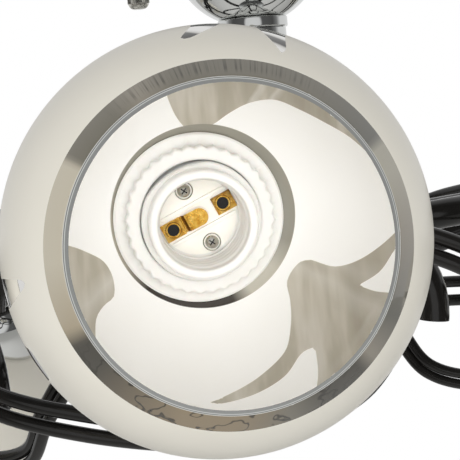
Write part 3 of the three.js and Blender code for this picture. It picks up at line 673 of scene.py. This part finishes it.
def bowl():
    top = -CANOPY_DEPTH - GAP
    foot = -math.degrees(math.asin(BOWL_DEPTH / BOWL_RADIUS))
    inner = BOWL_RADIUS - SHEET
    inner_foot = -math.degrees(math.asin((BOWL_DEPTH - SHEET) / inner))
    outline = [
        (BOLT_RADIUS + GAP, top - BOWL_DEPTH),
        *arc((0, top), BOWL_RADIUS, foot, -5, 40),
        (BOWL_RADIUS + BOWL_LIP, top - SHEET), (BOWL_RADIUS + BOWL_LIP, top),
        *arc((0, top), inner, 0, inner_foot, 40),
        (BOLT_RADIUS + GAP, top - BOWL_DEPTH + SHEET),
    ]
    return rounded(spun(outline), 0.2)


BOWL_FOOT = -CANOPY_DEPTH - GAP - BOWL_DEPTH
COLLAR_TOP = BOWL_FOOT - GAP
COLUMN_TOP = COLLAR_TOP - COLLAR_HEIGHT - GAP
HUB_FOOT = HUB_TOP - HUB_HEIGHT


def collar():
    return rounded(sleeve(BOLT_RADIUS + GAP, COLLAR_RADIUS, COLLAR_TOP - COLLAR_HEIGHT, COLLAR_TOP), 0.9, 5)


def column():
    return rounded(sleeve(COLUMN_RADIUS - SHEET, COLUMN_RADIUS, HUB_TOP + GAP, COLUMN_TOP), 0.2)


def hub():
    shoulder = (HUB_HEIGHT - HUB_BAND) / 2
    middle = (HUB_RADIUS + HUB_WAIST) / 2
    outline = [
        (BOLT_RADIUS + GAP, HUB_FOOT), (HUB_WAIST, HUB_FOOT), (middle, HUB_FOOT + shoulder / 3),
        (HUB_RADIUS, HUB_FOOT + shoulder), (HUB_RADIUS, HUB_TOP - shoulder), (middle, HUB_TOP - shoulder / 3),
        (HUB_WAIST, HUB_TOP), (BOLT_RADIUS + GAP, HUB_TOP),
    ]
    return rounded(spun(outline), 1.2, 4, math.radians(12))


def finial():
    top = HUB_FOOT - GAP
    tip = FINIAL_RADIUS / 3
    outline = [
        (0, top - FINIAL_HEIGHT), *arc((0, top - FINIAL_HEIGHT + tip), tip, -80, 30, 10),
        *arc((0, top - FINIAL_HEIGHT / 2), FINIAL_HEIGHT / 2.6, -40, -10, 6),
        (FINIAL_RADIUS, top - FINIAL_HEIGHT / 5), (FINIAL_RADIUS, top), (0, top),
    ]
    return rounded(spun(outline, closed=False), 0.6, 4)


def knurled_nut():
    """A barrel with fine upright ribs and a round tip."""
    top = -CANOPY_DEPTH - GAP
    core = NUT_RADIUS - RIB_DEPTH
    outline = [
        (0, top - NUT_LENGTH),
        *arc((core - NUT_TIP_RADIUS, top - NUT_LENGTH + NUT_TIP_RADIUS), NUT_TIP_RADIUS, -85, 0, 10),
        (core, top - 1.6), (core - 0.7, top - 1), (core - 0.7, top), (0, top),
    ]
    mesh = spun(outline, closed=False, steps=4 * NUT_RIBS)
    for vertex in mesh.verts:
        if vertex.co.xy.length > core - 0.01 and vertex.co.z < top - 1.2:
            turn = math.atan2(vertex.co.y, vertex.co.x)
            vertex.co.xy *= (core + RIB_DEPTH * (0.5 + 0.5 * math.cos(NUT_RIBS * turn))) / core
    return mesh


for name, mesh in (("canopy", canopy()), ("canopy_bowl", bowl()), ("collar", collar()),
                   ("column_tube", column()), ("arm_hub", hub()), ("hub_finial", finial())):
    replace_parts(to_piece(f"{name}_finish", mesh, [CHROME], Matrix(), FIXTURE), name)
for side, direction in (("left", -1), ("right", 1)):
    place = Matrix.Translation((direction * STUD_PLACE, 0, 0))
    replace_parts(to_piece(f"cap_nut_{side}_finish", knurled_nut(), [STEEL], place, f"nut_{side}"),
                f"cap_nut_{side}")
for name in ("ceiling_bar", "tie_bolt"):
    frame["nodes"][name].data.materials.clear()
    frame["nodes"][name].data.materials.append(STEEL)


# Tubes of one light
def arm(light):
    azimuth = light["azimuth"] - ARM_ROOT_LAG
    tail = -CUP_BACK + GAP
    end = behind(light, tail + ARM_TAIL)
    stations = [
        around(HUB_RADIUS - ARM_SOCKET + GAP, azimuth, ARM_ROOT_HEIGHT), around(HUB_RADIUS, azimuth, ARM_ROOT_HEIGHT),
        around(HUB_RADIUS + ARM_LEAD, azimuth, ARM_ROOT_HEIGHT),
        *route(light, ARM_ROUTE, REACH - BOW_BEHIND, ARM_ROOT_HEIGHT, end.z, ARM_CREST),
        end, behind(light, tail + ARM_TAIL / 2), behind(light, tail),
    ]
    return rounded(swept_tube(flowing(stations), ARM_RADIUS, 32), 0.5)


def rods(light):
    azimuth = light["azimuth"] + ROD_ROOT_LEAD
    beside = ARM_RADIUS + CLIP_RADIUS + GAP
    tip = behind(light, -CUP_BACK + CLIP_LENGTH, beside)
    middle = flowing([around(HUB_RADIUS + ROD_LEAD, azimuth, ROD_ROOT_HEIGHT),
                      *route(light, ROD_ROUTE, REACH, ROD_ROOT_HEIGHT, tip.z, light["sag"]), tip], 1.0)
    lengths = [0]
    for left, right in zip(middle, middle[1:]):
        lengths.append(lengths[-1] + (right - left).length)
    pair = bmesh.new()
    for side in (1, -1):
        stations = [around(radius, azimuth, ROD_ROOT_HEIGHT + side * light["spread"] / 2)
                    for radius in (HUB_RADIUS + GAP, HUB_RADIUS + ROD_LEAD)]
        for step in range(1, ROD_STATIONS + 1):
            share = step / ROD_STATIONS
            index = min(range(len(middle)), key=lambda i: abs(lengths[i] - share * lengths[-1]))
            point = middle[index]
            ahead = middle[min(index + 1, len(middle) - 1)] - middle[max(index - 1, 0)]
            across = ahead.cross(Vector((point.x, point.y, 0))).normalized()
            pitch = light["spread"] + (ROD_TIP_PITCH - light["spread"]) * share
            stations.append(point + across * side * pitch / 2)
        join(pair, swept_tube(flowing(stations), ROD_RADIUS))
    clip = bmesh.ops.create_cone(pair, cap_ends=True, segments=48, radius1=CLIP_RADIUS, radius2=CLIP_RADIUS,
                                 depth=CLIP_LENGTH)["verts"]
    seat = neck_frame(light) @ Matrix.Translation((beside, 0, CUP_BACK - CLIP_LENGTH))
    bmesh.ops.transform(pair, matrix=seat, verts=clip)
    return rounded(pair, 0.4)


def bow(light):
    half = BOW_SPAN / 2
    inner = half - BOW_BEND
    points = [Vector((-half, 0, -BOW_DROP))]
    for side, turns in ((-1, range(90, -1, -9)), (1, range(0, 91, 9))):
        points += [Vector((side * (inner + BOW_BEND * math.sin(math.radians(turn))), 0,
                           BOW_BEND * (math.cos(math.radians(turn)) - 1))) for turn in turns]
    points.append(Vector((half, 0, -BOW_DROP)))
    pitch = math.radians(light["pitch"])
    drop = -2 * ARM_RADIUS / math.cos(BOW_TILT) / math.cos(pitch) - BOW_OFFSET * math.tan(BOW_TILT) - BOW_CLEARANCE
    yaw = Matrix.Rotation(math.radians(light["azimuth"] + NECK_YAW), 4, "Z")
    place = (Matrix.Translation(behind(light, BOW_BEHIND)) @ yaw
             @ Matrix.Translation((BOW_OFFSET, 0, drop)) @ Matrix.Rotation(BOW_TILT, 4, "Y"))
    return swept_tube([place @ point for point in points], ARM_RADIUS, 32, BOW_WALL)


# Cup, lampholder and ring of one light, about the neck's axis
def cup():
    depth = CUP_DEPTH - 3
    turns = [math.radians(90 - 5 * step) for step in range(18)]
    swell = CUP_RADIUS - CUP_BACK_RADIUS
    wall = [(CUP_BACK_RADIUS + swell * math.sin(turn), CUP_BACK + depth * (1 - math.cos(turn))) for turn in turns]
    outline = [
        (SPIGOT_RADIUS + GAP, CUP_BACK), (CUP_BACK_RADIUS, CUP_BACK), *reversed(wall),
        (CUP_RADIUS, CUP_RIM), (CUP_RADIUS - SHEET, CUP_RIM),
        *[(radius - SHEET, height + SHEET) for radius, height in wall], (SPIGOT_RADIUS + GAP, CUP_BACK + SHEET),
    ]
    return rounded(spun(outline), 0.25)


def holder_shell():
    """Skirt with an outside thread, flat on one side, a rounded nose and the bulb's thread inside."""
    thread_end = CUP_RIM - 3
    tail_floor = HOLDER_BACK + 7
    outline = [
        (0, tail_floor), (SPIGOT_RADIUS + GAP, tail_floor), (SPIGOT_RADIUS + GAP, HOLDER_BACK),
        (TAIL_RADIUS, HOLDER_BACK), (TAIL_RADIUS, thread_end - THREAD_RADIUS + TAIL_RADIUS),
    ]
    height = thread_end
    while height < THREAD_FRONT - 3:
        outline += [(THREAD_RADIUS - THREAD_DEPTH * cut, height + rise) for rise, cut in THREAD_FORM]
        height += THREAD_PITCH
    outline += [
        (THREAD_RADIUS, height), (THREAD_RADIUS, THREAD_FRONT - 0.5), (THREAD_RADIUS - 0.5, THREAD_FRONT),
        (NOSE_RADIUS, THREAD_FRONT), (NOSE_RADIUS, HOLDER_FRONT - 1.5),
        *arc((NOSE_RADIUS - 1.5, HOLDER_FRONT - 1.5), 1.5, 15, 90, 6),
        *arc((BORE_RADIUS + 1.9, HOLDER_FRONT - 1), 1, 90, 180, 6),
    ]
    height = HOLDER_FRONT - 3.2
    while height > BORE_FLOOR + 5:
        for turn in (step * math.tau / 12 for step in range(12)):
            outline.append((BORE_RADIUS + 0.45 + BULB_THREAD_DEPTH * math.cos(turn),
                            height - BULB_THREAD_PITCH * turn / math.tau))
        height -= BULB_THREAD_PITCH
    outline += [
        (BORE_RADIUS - 0.2, height), *arc((BORE_RADIUS - 1.4, BORE_FLOOR + 0.8), 1.2, 0, -85, 6),
        (BORE_RADIUS - 1.4, BORE_FLOOR - 6), (0, BORE_FLOOR - 6),
    ]
    mesh = spun(outline, closed=False, steps=144)
    for vertex in mesh.verts:
        reach = vertex.co.xy.length
        if reach > THREAD_RADIUS - 1 and vertex.co.z > RING_BACK:
            away = (math.atan2(vertex.co.y, vertex.co.x) - THREAD_FLAT) / THREAD_FLAT_REACH
            vertex.co.xy *= 1 - THREAD_FLAT_DEPTH * max(0, 1 - away * away) / reach
    return mesh


def holder_base():
    """Insulating floor with raised ribs beside the contacts."""
    edge = BORE_RADIUS - 0.15
    foot, top = BORE_FLOOR - BASE_DEPTH, BORE_FLOOR - GAP
    mesh = spun([(0, foot), (edge, foot), (edge, top), (0, top)], closed=False)
    for offset in (-BASE_RIB_PLACE, BASE_RIB_PLACE):
        rib = bmesh.new()
        bmesh.ops.create_cube(rib, size=1)
        bmesh.ops.bevel(rib, geom=rib.edges[:], offset=0.12, segments=3, profile=0.5, affect="EDGES", material=-1)
        place = Matrix.Translation((0, offset, BORE_FLOOR)) @ Matrix.Diagonal((*BASE_RIB_SIZE, 1))
        move(rib, place)
        join(mesh, rib)
    return mesh


def base_screws():
    """Two domed cross-slot screws in ringed recesses, their slots black bars of painted shade, and black discs below
    the contacts' holes, painted shade in place of their dark threaded holes.
    """
    mesh = bmesh.new()
    for side in (-1, 1):
        screw = Matrix.Translation((0, side * SCREW_PLACE, BORE_FLOOR))
        thread = Matrix.Translation((side * PLATE_PLACE, 0, BORE_FLOOR))
        parts = [(spun(RECESS, steps=SCREW_STEPS), screw, 0),
                 (spun(SCREW_HEAD, closed=False, steps=SCREW_STEPS), screw, 0),
                 (spun(HOLE_SHADE_DISC, closed=False, steps=SCREW_STEPS), thread, 1)]
        # The cross slot as black bars: painted shade in place of the slot's recess
        for turn in (SLOT_TURN, SLOT_TURN + math.pi / 2):
            slot = bmesh.new()
            bmesh.ops.create_cube(slot, size=1)
            across = Matrix.Rotation(turn, 4, "Z") @ Matrix.Diagonal((*SLOT_SIZE, 1))
            parts.append((slot, screw @ Matrix.Translation((0, 0, SLOT_HEIGHT)) @ across, 1))
        for part, place, index in parts:
            move(part, place)
            for face in part.faces:
                face.material_index = index
            join(mesh, part)
    return mesh


def contact_plate(side):
    """Square brass plate with a raised rim round its screw hole, brown round the rim, and on the side contact towards
    one edge.
    """
    mesh = bmesh.new()
    darkening = mesh.verts.layers.float.new("darkening")
    hole = bmesh.ops.create_circle(mesh, cap_ends=False, segments=32, radius=HOLE_RADIUS)["verts"]
    rim = list({edge for vertex in hole for edge in vertex.link_edges})
    # The stored darkening browns the brass round the foot of the rim
    for reach, rise, mark in HOLE_RIM:
        grown = bmesh.ops.extrude_edge_only(mesh, edges=rim)["geom"]
        rim = [item for item in grown if isinstance(item, bmesh.types.BMEdge)]
        for vertex in {vertex for edge in rim for vertex in edge.verts}:
            vertex.co = (*(vertex.co.xy.normalized() * HOLE_RADIUS * reach), rise)
            vertex[darkening] = mark
    left, right = PLATE_ENDS[side]
    corners = [mesh.verts.new((x, y, 0)) for x, y in
               ((left, -PLATE_HALF), (right, -PLATE_HALF), (right, PLATE_HALF), (left, PLATE_HALF))]
    # The side contact goes brown towards one edge
    for corner in corners:
        corner[darkening] = 1 if side > 0 and corner.co.y > 0 else 0.1
    edges = [mesh.edges.new((corners[i], corners[(i + 1) % 4])) for i in range(4)]
    bmesh.ops.triangle_fill(mesh, use_beauty=True, edges=edges + rim)
    face_outwards(mesh)
    if sum(face.normal.z for face in mesh.faces) < 0:
        bmesh.ops.reverse_faces(mesh, faces=mesh.faces)
    bmesh.ops.solidify(mesh, geom=mesh.faces, thickness=BRASS_THICKNESS)
    place = Matrix.Translation((side * PLATE_PLACE, 0, BORE_FLOOR + BRASS_THICKNESS))
    move(mesh, place)
    face_outwards(mesh)
    return mesh


def height_at(along, stations):
    """The height at a place along straight stretches between (place, height) stations."""
    for (start, low), (end, high) in zip(stations, stations[1:]):
        if along <= end:
            break
    return low + (high - low) * (along - start) / (end - start)


def centre_contact():
    """The plate with a round-ended tongue that springs up over the axis, brown in its fold."""
    mesh = contact_plate(-1)
    tongue = bmesh.new()
    bmesh.ops.create_grid(tongue, x_segments=80, y_segments=12, size=1)
    darkening = tongue.verts.layers.float.new("darkening")
    for vertex in tongue.verts:
        across = vertex.co.y
        x = TONGUE_MIDDLE + TONGUE_HALF * vertex.co.x
        half = TONGUE_HALF_WIDTH * math.sqrt(max(0.01, 1 - max(0, (x - ROUND_END_START) / ROUND_END_REACH) ** 2))
        bulge = TONGUE_CROWN * (1 - across * across)
        vertex.co = (x, across * half, BORE_FLOOR + height_at(x, TONGUE_RISE) + bulge)
        # The stored darkening browns the tongue most at its folds
        marks = [mark - abs(x - place) / spread for place, mark, spread in TONGUE_FOLDS]
        vertex[darkening] = max(0, min(1, max(marks)))
    bmesh.ops.solidify(tongue, geom=tongue.faces, thickness=TONGUE_THICKNESS)
    face_outwards(tongue)
    join(mesh, tongue)
    return mesh


def ring_nut():
    """Flat flange against the glass, and a body with round flutes at its rim."""
    mesh = spun([
        (RING_HOLE, RING_BACK), (FLANGE_RADIUS - 0.5, RING_BACK), (FLANGE_RADIUS, RING_BACK + 0.5),
        (FLANGE_RADIUS, RING_BACK + FLANGE_THICKNESS - 0.7), (FLANGE_RADIUS - 0.7, RING_BACK + FLANGE_THICKNESS),
        (RING_RADIUS + 0.2, RING_BACK + FLANGE_THICKNESS), (RING_RADIUS, RING_BACK + FLANGE_THICKNESS + 0.3),
        (RING_RADIUS, RING_FRONT - 1), *arc((RING_RADIUS - 1, RING_FRONT - 1), 1, 20, 90, 4),
        *arc((RING_HOLE + 0.9, RING_FRONT - 0.9), 0.9, 90, 180, 4),
    ], steps=8 * RING_FLUTES)
    for vertex in mesh.verts:
        reach = vertex.co.xy.length
        if vertex.co.z > RING_BACK + FLANGE_THICKNESS + 0.1 and reach > RING_HOLE + 2:
            turn = RING_FLUTES * math.atan2(vertex.co.y, vertex.co.x)
            depth = FLUTE_DEPTH * (1 + math.cos(turn)) / 2
            vertex.co.xy *= (reach - depth) / reach
    return mesh


# Bare petals: outlines in degrees from the neck's axis behind the lampholder, as smooth stretches that
# meet at the petals' points
INNER_PETALS = (
    (((-9.4, 54.8), (-7.9, 42.8), (-6.2, 37.2), (-4.5, 33.1), (-1.4, 28.3), (1.6, 24.8)),
     ((1.6, 24.8), (4.4, 27.8), (8.3, 30.4), (12.6, 33.7), (19.3, 37.6), (27.8, 39.3), (36.2, 36), (44.9, 31.9),
      (54.2, 27.5), (62.9, 21.2), (79.6, 8.8)),
     ((79.6, 8.8), (89.6, 30.8), (77.6, 60.8), (49.6, 86.8), (19.6, 84.8), (-0.4, 70.8), (-9.4, 54.8))),
    (((-66.4, -3.2), (-56.4, -0.7), (-45.3, -3.8), (-37.7, -7.5), (-32.2, -11.3), (-29.8, -16.8), (-30.6, -23),
      (-34.5, -25.2), (-38.7, -29.1), (-40.8, -34.9), (-42.2, -40.3), (-46.4, -51.2), (-56.4, -61.2)),
     ((-56.4, -61.2), (-78.4, -59.2), (-92.4, -41.2), (-88.4, -17.2), (-66.4, -3.2))),
    (((93.6, 14.8), (83.6, 2.8), (76.9, -3.1), (72, -6.8), (63.7, -12.6), (55.5, -17.1), (49.3, -19.2), (43.9, -19.7),
      (36.1, -17.1)),
     ((36.1, -17.1), (32.2, -17.6), (27.4, -23.6), (28, -30), (27.9, -36.9), (25.9, -46.5), (23.1, -50.3),
      (14.9, -56.7), (9.5, -59.7), (3.5, -62.3), (-3.7, -64.9), (-12.5, -66.3)),
     ((-12.5, -66.3), (-4.7, -66.2), (3, -65.8), (14.6, -63.1), (24.9, -57.4), (30.5, -50.2), (32.8, -48.6),
      (36.3, -47.9)),
     ((36.3, -47.9), (37.1, -54), (37.5, -59.7), (36.5, -69.2), (33.6, -83.2), (29.6, -99.2)),
     ((29.6, -99.2), (55.6, -91.2), (73.6, -69.2), (81.6, -47.2), (79.6, -37.2), (70.5, -31), (61.4, -29.4),
      (53.7, -26.8)),
     ((53.7, -26.8), (63.6, -21.9), (71.9, -13), (83.6, -5.2), (93.6, 14.8))),
)
# Outside, the bare petals hold the coat's painted reflection bands
OUTER_PETALS = (
    (((20.9, 74.9), (21.3, 84), (26.6, 97.4), (29.9, 101.7), (33.5, 105.1), (36.8, 107.7)),
     ((36.8, 107.7), (38.4, 108.4), (39.8, 107.3), (39.9, 104.6), (38.4, 99.2), (36.8, 92.4), (32.5, 71.8)),
     ((32.5, 71.8), (26.7, 73.7), (20.9, 74.9))),
    (((9.1, 76.1), (7.9, 93.7), (4, 100.6), (-1, 104.5), (-5.6, 107), (-9.4, 107.9), (-13.6, 107.4)),
     ((-13.6, 107.4), (-11.5, 105.2), (-8.4, 101.9), (-5.1, 96.8), (-0.4, 75.8)), ((-0.4, 75.8), (9.1, 76.1))),
    (((-80.1, -8.2), (-100.5, -4.8), (-112.4, -2.4), (-117.4, -1.8), (-118.9, -3.5), (-117.8, -6), (-114.7, -9.3),
      (-110.5, -13), (-104.7, -16.6), (-95.6, -19.2), (-79.8, -17.1)), ((-79.8, -17.1), (-80.1, -8.2))),
    (((-76.1, -35), (-92.4, -36.7), (-98.1, -40.5), (-97, -45.5), (-94.2, -51.9), (-90.4, -55), (-70.4, -48.8)),
     ((-70.4, -48.8), (-76.1, -35))),
)
FAR_OUTSIDE = -9
# The bare ring round the neck, where the painted reflection of the cup goes, in the same degrees
NECK_ZONE = 30.1
NECK_ZONE_CENTRE = (1.6, 0)


def petal_outlines(petals):
    """Each petal's outline as closely set points."""
    outlines = []
    for stretches in petals:
        outline = []
        for stretch in stretches:
            outline += flowing([Vector((*point, 0)) for point in stretch], 1.5)[:-1]
        outlines.append([point.xy for point in outline])
    return outlines


def into_petal(point, outlines):
    """How far a point lies inside the nearest petal, in degrees; less than 0 outside."""
    deepest = FAR_OUTSIDE
    for outline in outlines:
        beside = max(min(end.x for end in outline) - point.x, point.x - max(end.x for end in outline),
                     min(end.y for end in outline) - point.y, point.y - max(end.y for end in outline))
        if beside > -FAR_OUTSIDE:
            continue
        nearest, inside = 1e9, False
        for start, end in zip(outline, outline[1:] + outline[:1]):
            along = end - start
            share = max(0, min(1, (point - start).dot(along) / max(along.length_squared, 1e-9)))
            nearest = min(nearest, (start + along * share - point).length)
            crosses = (start.y > point.y) != (end.y > point.y)
            if crosses and point.x < start.x + along.x * (point.y - start.y) / along.y:
                inside = not inside
        deepest = max(deepest, nearest if inside else -nearest)
    return deepest


def turn_layer(mesh, name, axis, right):
    """A UV layer with each corner's turn about an axis and its tilt from it, as shares."""
    layer = mesh.loops.layers.uv.new(name)
    up = axis.cross(right)
    for face in mesh.faces:
        turns = [math.atan2(loop.vert.co.dot(up), loop.vert.co.dot(right)) / math.tau % 1 for loop in face.loops]
        wraps = max(turns) - min(turns) > 0.5
        for loop, turn in zip(face.loops, turns):
            tilt = math.acos(max(-1, min(1, loop.vert.co.normalized().dot(axis)))) / math.pi
            loop[layer].uv = (turn + 1 if wraps and turn < 0.5 else turn, tilt)


def petal_layers(mesh):
    """Stores at each point how far it lies inside the petals and inside the bare ring at the neck."""
    inner_petals, outer_petals = petal_outlines(INNER_PETALS), petal_outlines(OUTER_PETALS)
    petal = mesh.verts.layers.float.new("into_petal")
    neck = mesh.verts.layers.float.new("into_neck")
    for vertex in mesh.verts:
        vertex[petal] = vertex[neck] = FAR_OUTSIDE
        if vertex.co.z < SEAT + 0.1:
            continue
        outside = vertex.co.length > BALL_RADIUS - 0.1
        tilt = math.degrees(math.acos(max(-1, min(1, -vertex.co.z / vertex.co.length))))
        place = vertex.co.xy.normalized() * tilt
        vertex[petal] = into_petal(place, outer_petals if outside else inner_petals)
        if not outside:
            vertex[neck] = NECK_ZONE - (place - Vector(NECK_ZONE_CENTRE)).length


def cut_plane(mesh, distance, normal, **options):
    bmesh.ops.bisect_plane(mesh, geom=[*mesh.verts, *mesh.edges, *mesh.faces], dist=0.01,
                           plane_co=normal * distance, plane_no=normal, **options)


def glass_ball():
    """Drawn about the neck's axis: coated outside, frosted inside, with a clear band at the mouth."""
    inner = BALL_RADIUS - BALL_WALL
    inner_seat = SEAT + BALL_WALL
    outline = [
        *arc((0, 0), BALL_RADIUS, 90, math.degrees(math.asin(SEAT / BALL_RADIUS)), 110),
        (NECK_RADIUS, SEAT), (NECK_RADIUS, inner_seat),
        *arc((0, 0), inner, math.degrees(math.asin(inner_seat / inner)), 90, 84),
    ]
    mesh = spun(outline, closed=False, steps=240)
    mouth = Vector((0, math.sin(MOUTH_TILT), math.cos(MOUTH_TILT)))
    depth = math.sqrt(BALL_RADIUS**2 - MOUTH_RADIUS**2)
    cut_plane(mesh, depth, mouth, clear_outer=True)
    coat = math.sqrt(BALL_RADIUS**2 - COAT_EDGE_RADIUS**2)
    cut_plane(mesh, coat, mouth)
    for face in mesh.faces:
        centre = face.calc_center_median()
        if centre.z < inner_seat + 0.01 and centre.xy.length < inner * 0.5:
            face.material_index = COAT_INDEX if centre.z < SEAT + 0.01 else FROST_INDEX
        elif centre.length > BALL_RADIUS - BALL_WALL / 2:
            face.material_index = BAND_INDEX if centre.dot(mouth) > coat else COAT_INDEX
        else:
            face.material_index = FROST_INDEX
    bridge = bmesh.ops.bridge_loops(mesh, edges=[edge for edge in mesh.edges if edge.is_boundary])["faces"]
    for face in bridge:
        face.material_index = EDGE_INDEX
    face_outwards(mesh)
    rim = {edge for face in bridge for edge in face.edges if len({f.material_index for f in edge.link_faces}) > 1}
    for vertex in mesh.verts:
        below = depth - vertex.co.dot(mouth)
        if vertex.co.length < inner + 0.1 and below < RIM_TAPER:
            vertex.co *= 1 + (BALL_WALL - RIM_WALL) / inner * (1 - below / RIM_TAPER) ** 2
    bmesh.ops.bevel(mesh, geom=list(rim), offset=EDGE_ROUNDING, segments=3, profile=0.5, affect="EDGES", material=-1)
    petal_layers(mesh)
    turn_layer(mesh, "about_mouth", mouth, Vector((1, 0, 0)))
    turn_layer(mesh, "about_neck", Vector((0, 0, 1)), Vector((1, 0, 0)))
    return mesh


UNIT_PIECES = (
    ("cup", cup(), [CHROME], "chrome"),
    ("holder_shell", holder_shell(), [WHITE], "white_plastic"),
    ("shade_ring", ring_nut(), [WHITE], "white_plastic"),
    ("shade", glass_ball(), GLASS, "opal_glass"),
)
CONTACT_PIECES = (
    ("holder_base", holder_base(), [CREAM], "cream_plastic"),
    ("centre_contact", centre_contact(), [BRASS], "brass"),
    ("side_contact", contact_plate(1), [BRASS], "brass"),
)
SCREWS = base_screws()
for number, light in zip(LIGHT_NUMBERS, LIGHTS):
    neck = neck_frame(light)
    turned = neck @ Matrix.Rotation(CONTACT_TURN, 4, "Z")
    for name, tube in (("arm", arm(light)), ("rods", rods(light)), ("bow", bow(light))):
        piece = to_piece(f"{name}_{number}_finish", tube, [BLACK], Matrix(), FIXTURE)
        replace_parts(piece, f"{name}_{number}")
    for place, pieces in ((neck, UNIT_PIECES), (turned, CONTACT_PIECES)):
        for name, mesh, materials, slot in pieces:
            body = f"ring_{number}" if name == "shade_ring" else FIXTURE
            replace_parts(to_piece(f"{name}_{number}_finish", mesh, materials, place, body), f"{name}_{number}")
    to_piece(f"base_screws_{number}", SCREWS, [STEEL, BLACK], turned, FIXTURE)


# Room, light and camera
FLOOR_SIZE = 5
FLOOR_HEIGHT = -2.4
SOFT_LIGHT = 0.45
CAMERA_PLACE = (-20.3, -710.2, -104.25)
CAMERA_FOCAL = 1405 / 460  # of the picture's width
CAMERA_TILT = math.radians(4.62)
CAMERA_ROLL = math.radians(5)


def floor():
    mesh = bmesh.new()
    bmesh.ops.create_grid(mesh, x_segments=1, y_segments=1, size=FLOOR_SIZE)
    data = bpy.data.meshes.new("floor")
    mesh.to_mesh(data)
    mesh.free()
    piece = placed("floor", data)
    piece.location = (0, 0, FLOOR_HEIGHT)
    material, _, shader = new_material("pale_floor")
    settle(shader, Base_Color=(0.8, 0.8, 0.79, 1), Roughness=0.9)
    data.materials.append(material)


def world():
    """Soft light from all round; metal and glass mirror a dark room in front and a pale one behind."""
    place = bpy.data.worlds.new("studio")
    place.use_nodes = True
    bpy.context.scene.world = place
    tree = place.node_tree
    light = tree.nodes["Background"]
    light.inputs["Color"].default_value = (1, 0.99, 0.965, 1)
    light.inputs["Strength"].default_value = SOFT_LIGHT
    direction = tree.nodes.new("ShaderNodeTexCoord")
    split = tree.nodes.new("ShaderNodeSeparateXYZ")
    tree.links.new(direction.outputs["Generated"], split.inputs["Vector"])
    backwards = add(tree, "ShaderNodeMapRange", From_Min=-1, From_Max=1)
    tree.links.new(split.outputs["Y"], backwards.inputs["Value"])
    room = ramp(tree, backwards.outputs["Result"], [
        (0.0, 0.75), (0.04, 0.7), (0.07, 0.1), (0.32, 0.08), (0.46, 0.22), (0.6, 0.75), (1.0, 0.8),
    ])
    mirrored = add(tree, "ShaderNodeBackground", Strength=1)
    tree.links.new(room, mirrored.inputs["Color"])
    seen = add(tree, "ShaderNodeBackground", Strength=1)
    seen.inputs["Color"].default_value = (1, 1, 1, 1)
    path = tree.nodes.new("ShaderNodeLightPath")
    lit = tree.nodes.new("ShaderNodeMixShader")
    shown = tree.nodes.new("ShaderNodeMixShader")
    for mix, choice, no, yes in (
        (lit, "Is Glossy Ray", light.outputs["Background"], mirrored.outputs["Background"]),
        (shown, "Is Camera Ray", lit.outputs["Shader"], seen.outputs["Background"]),
    ):
        tree.links.new(path.outputs[choice], mix.inputs["Fac"])
        tree.links.new(no, mix.inputs[1])
        tree.links.new(yes, mix.inputs[2])
    tree.links.new(shown.outputs["Shader"], tree.nodes["World Output"].inputs["Surface"])


def lamp(name, place, target, size, power):
    """A square soft lamp that metal and glass don't mirror."""
    data = bpy.data.lights.new(name, "AREA")
    data.size = size
    data.energy = power
    piece = placed(name, data)
    piece.location = place
    piece.rotation_euler = (Vector(target) - Vector(place)).to_track_quat("-Z", "Y").to_euler()
    piece.visible_glossy = False


def camera():
    """The photograph's view: slightly from above, rolled so that the level lines rise to the right."""
    data = bpy.data.cameras.new("camera")
    data.sensor_fit = "HORIZONTAL"
    data.sensor_width = 36
    data.lens = data.sensor_width * CAMERA_FOCAL
    data.clip_start = 0.05
    piece = placed("camera", data)
    ahead = Vector((0, math.cos(CAMERA_TILT), -math.sin(CAMERA_TILT)))
    level = Vector((1, 0, 0))
    upright = level.cross(ahead)
    right = level * math.cos(CAMERA_ROLL) - upright * math.sin(CAMERA_ROLL)
    up = level * math.sin(CAMERA_ROLL) + upright * math.cos(CAMERA_ROLL)
    turn = Matrix((right, up, -ahead)).transposed().to_4x4()
    piece.matrix_world = Matrix.Translation(Vector(CAMERA_PLACE) * MM) @ turn
    bpy.context.scene.camera = piece


floor()
world()
lamp("window_left", (-1.9, -1.6, 0.25), (0, -0.2, -0.15), 1.6, 12)
lamp("window_right", (1.8, -0.8, -0.1), (0, -0.2, -0.15), 1.2, 2)
lamp("front_fill", (0.13, -2.35, -0.15), (0, -0.3, -0.15), 1.5, 40)
lamp("back_left_fill", (-1, 2.1, -0.6), (0, 0, -0.2), 1.5, 18)
lamp("back_right_fill", (1, 2.1, 0.4), (0, 0, -0.2), 1.5, 12)
camera()
bpy.context.scene.view_settings.view_transform = "Standard"
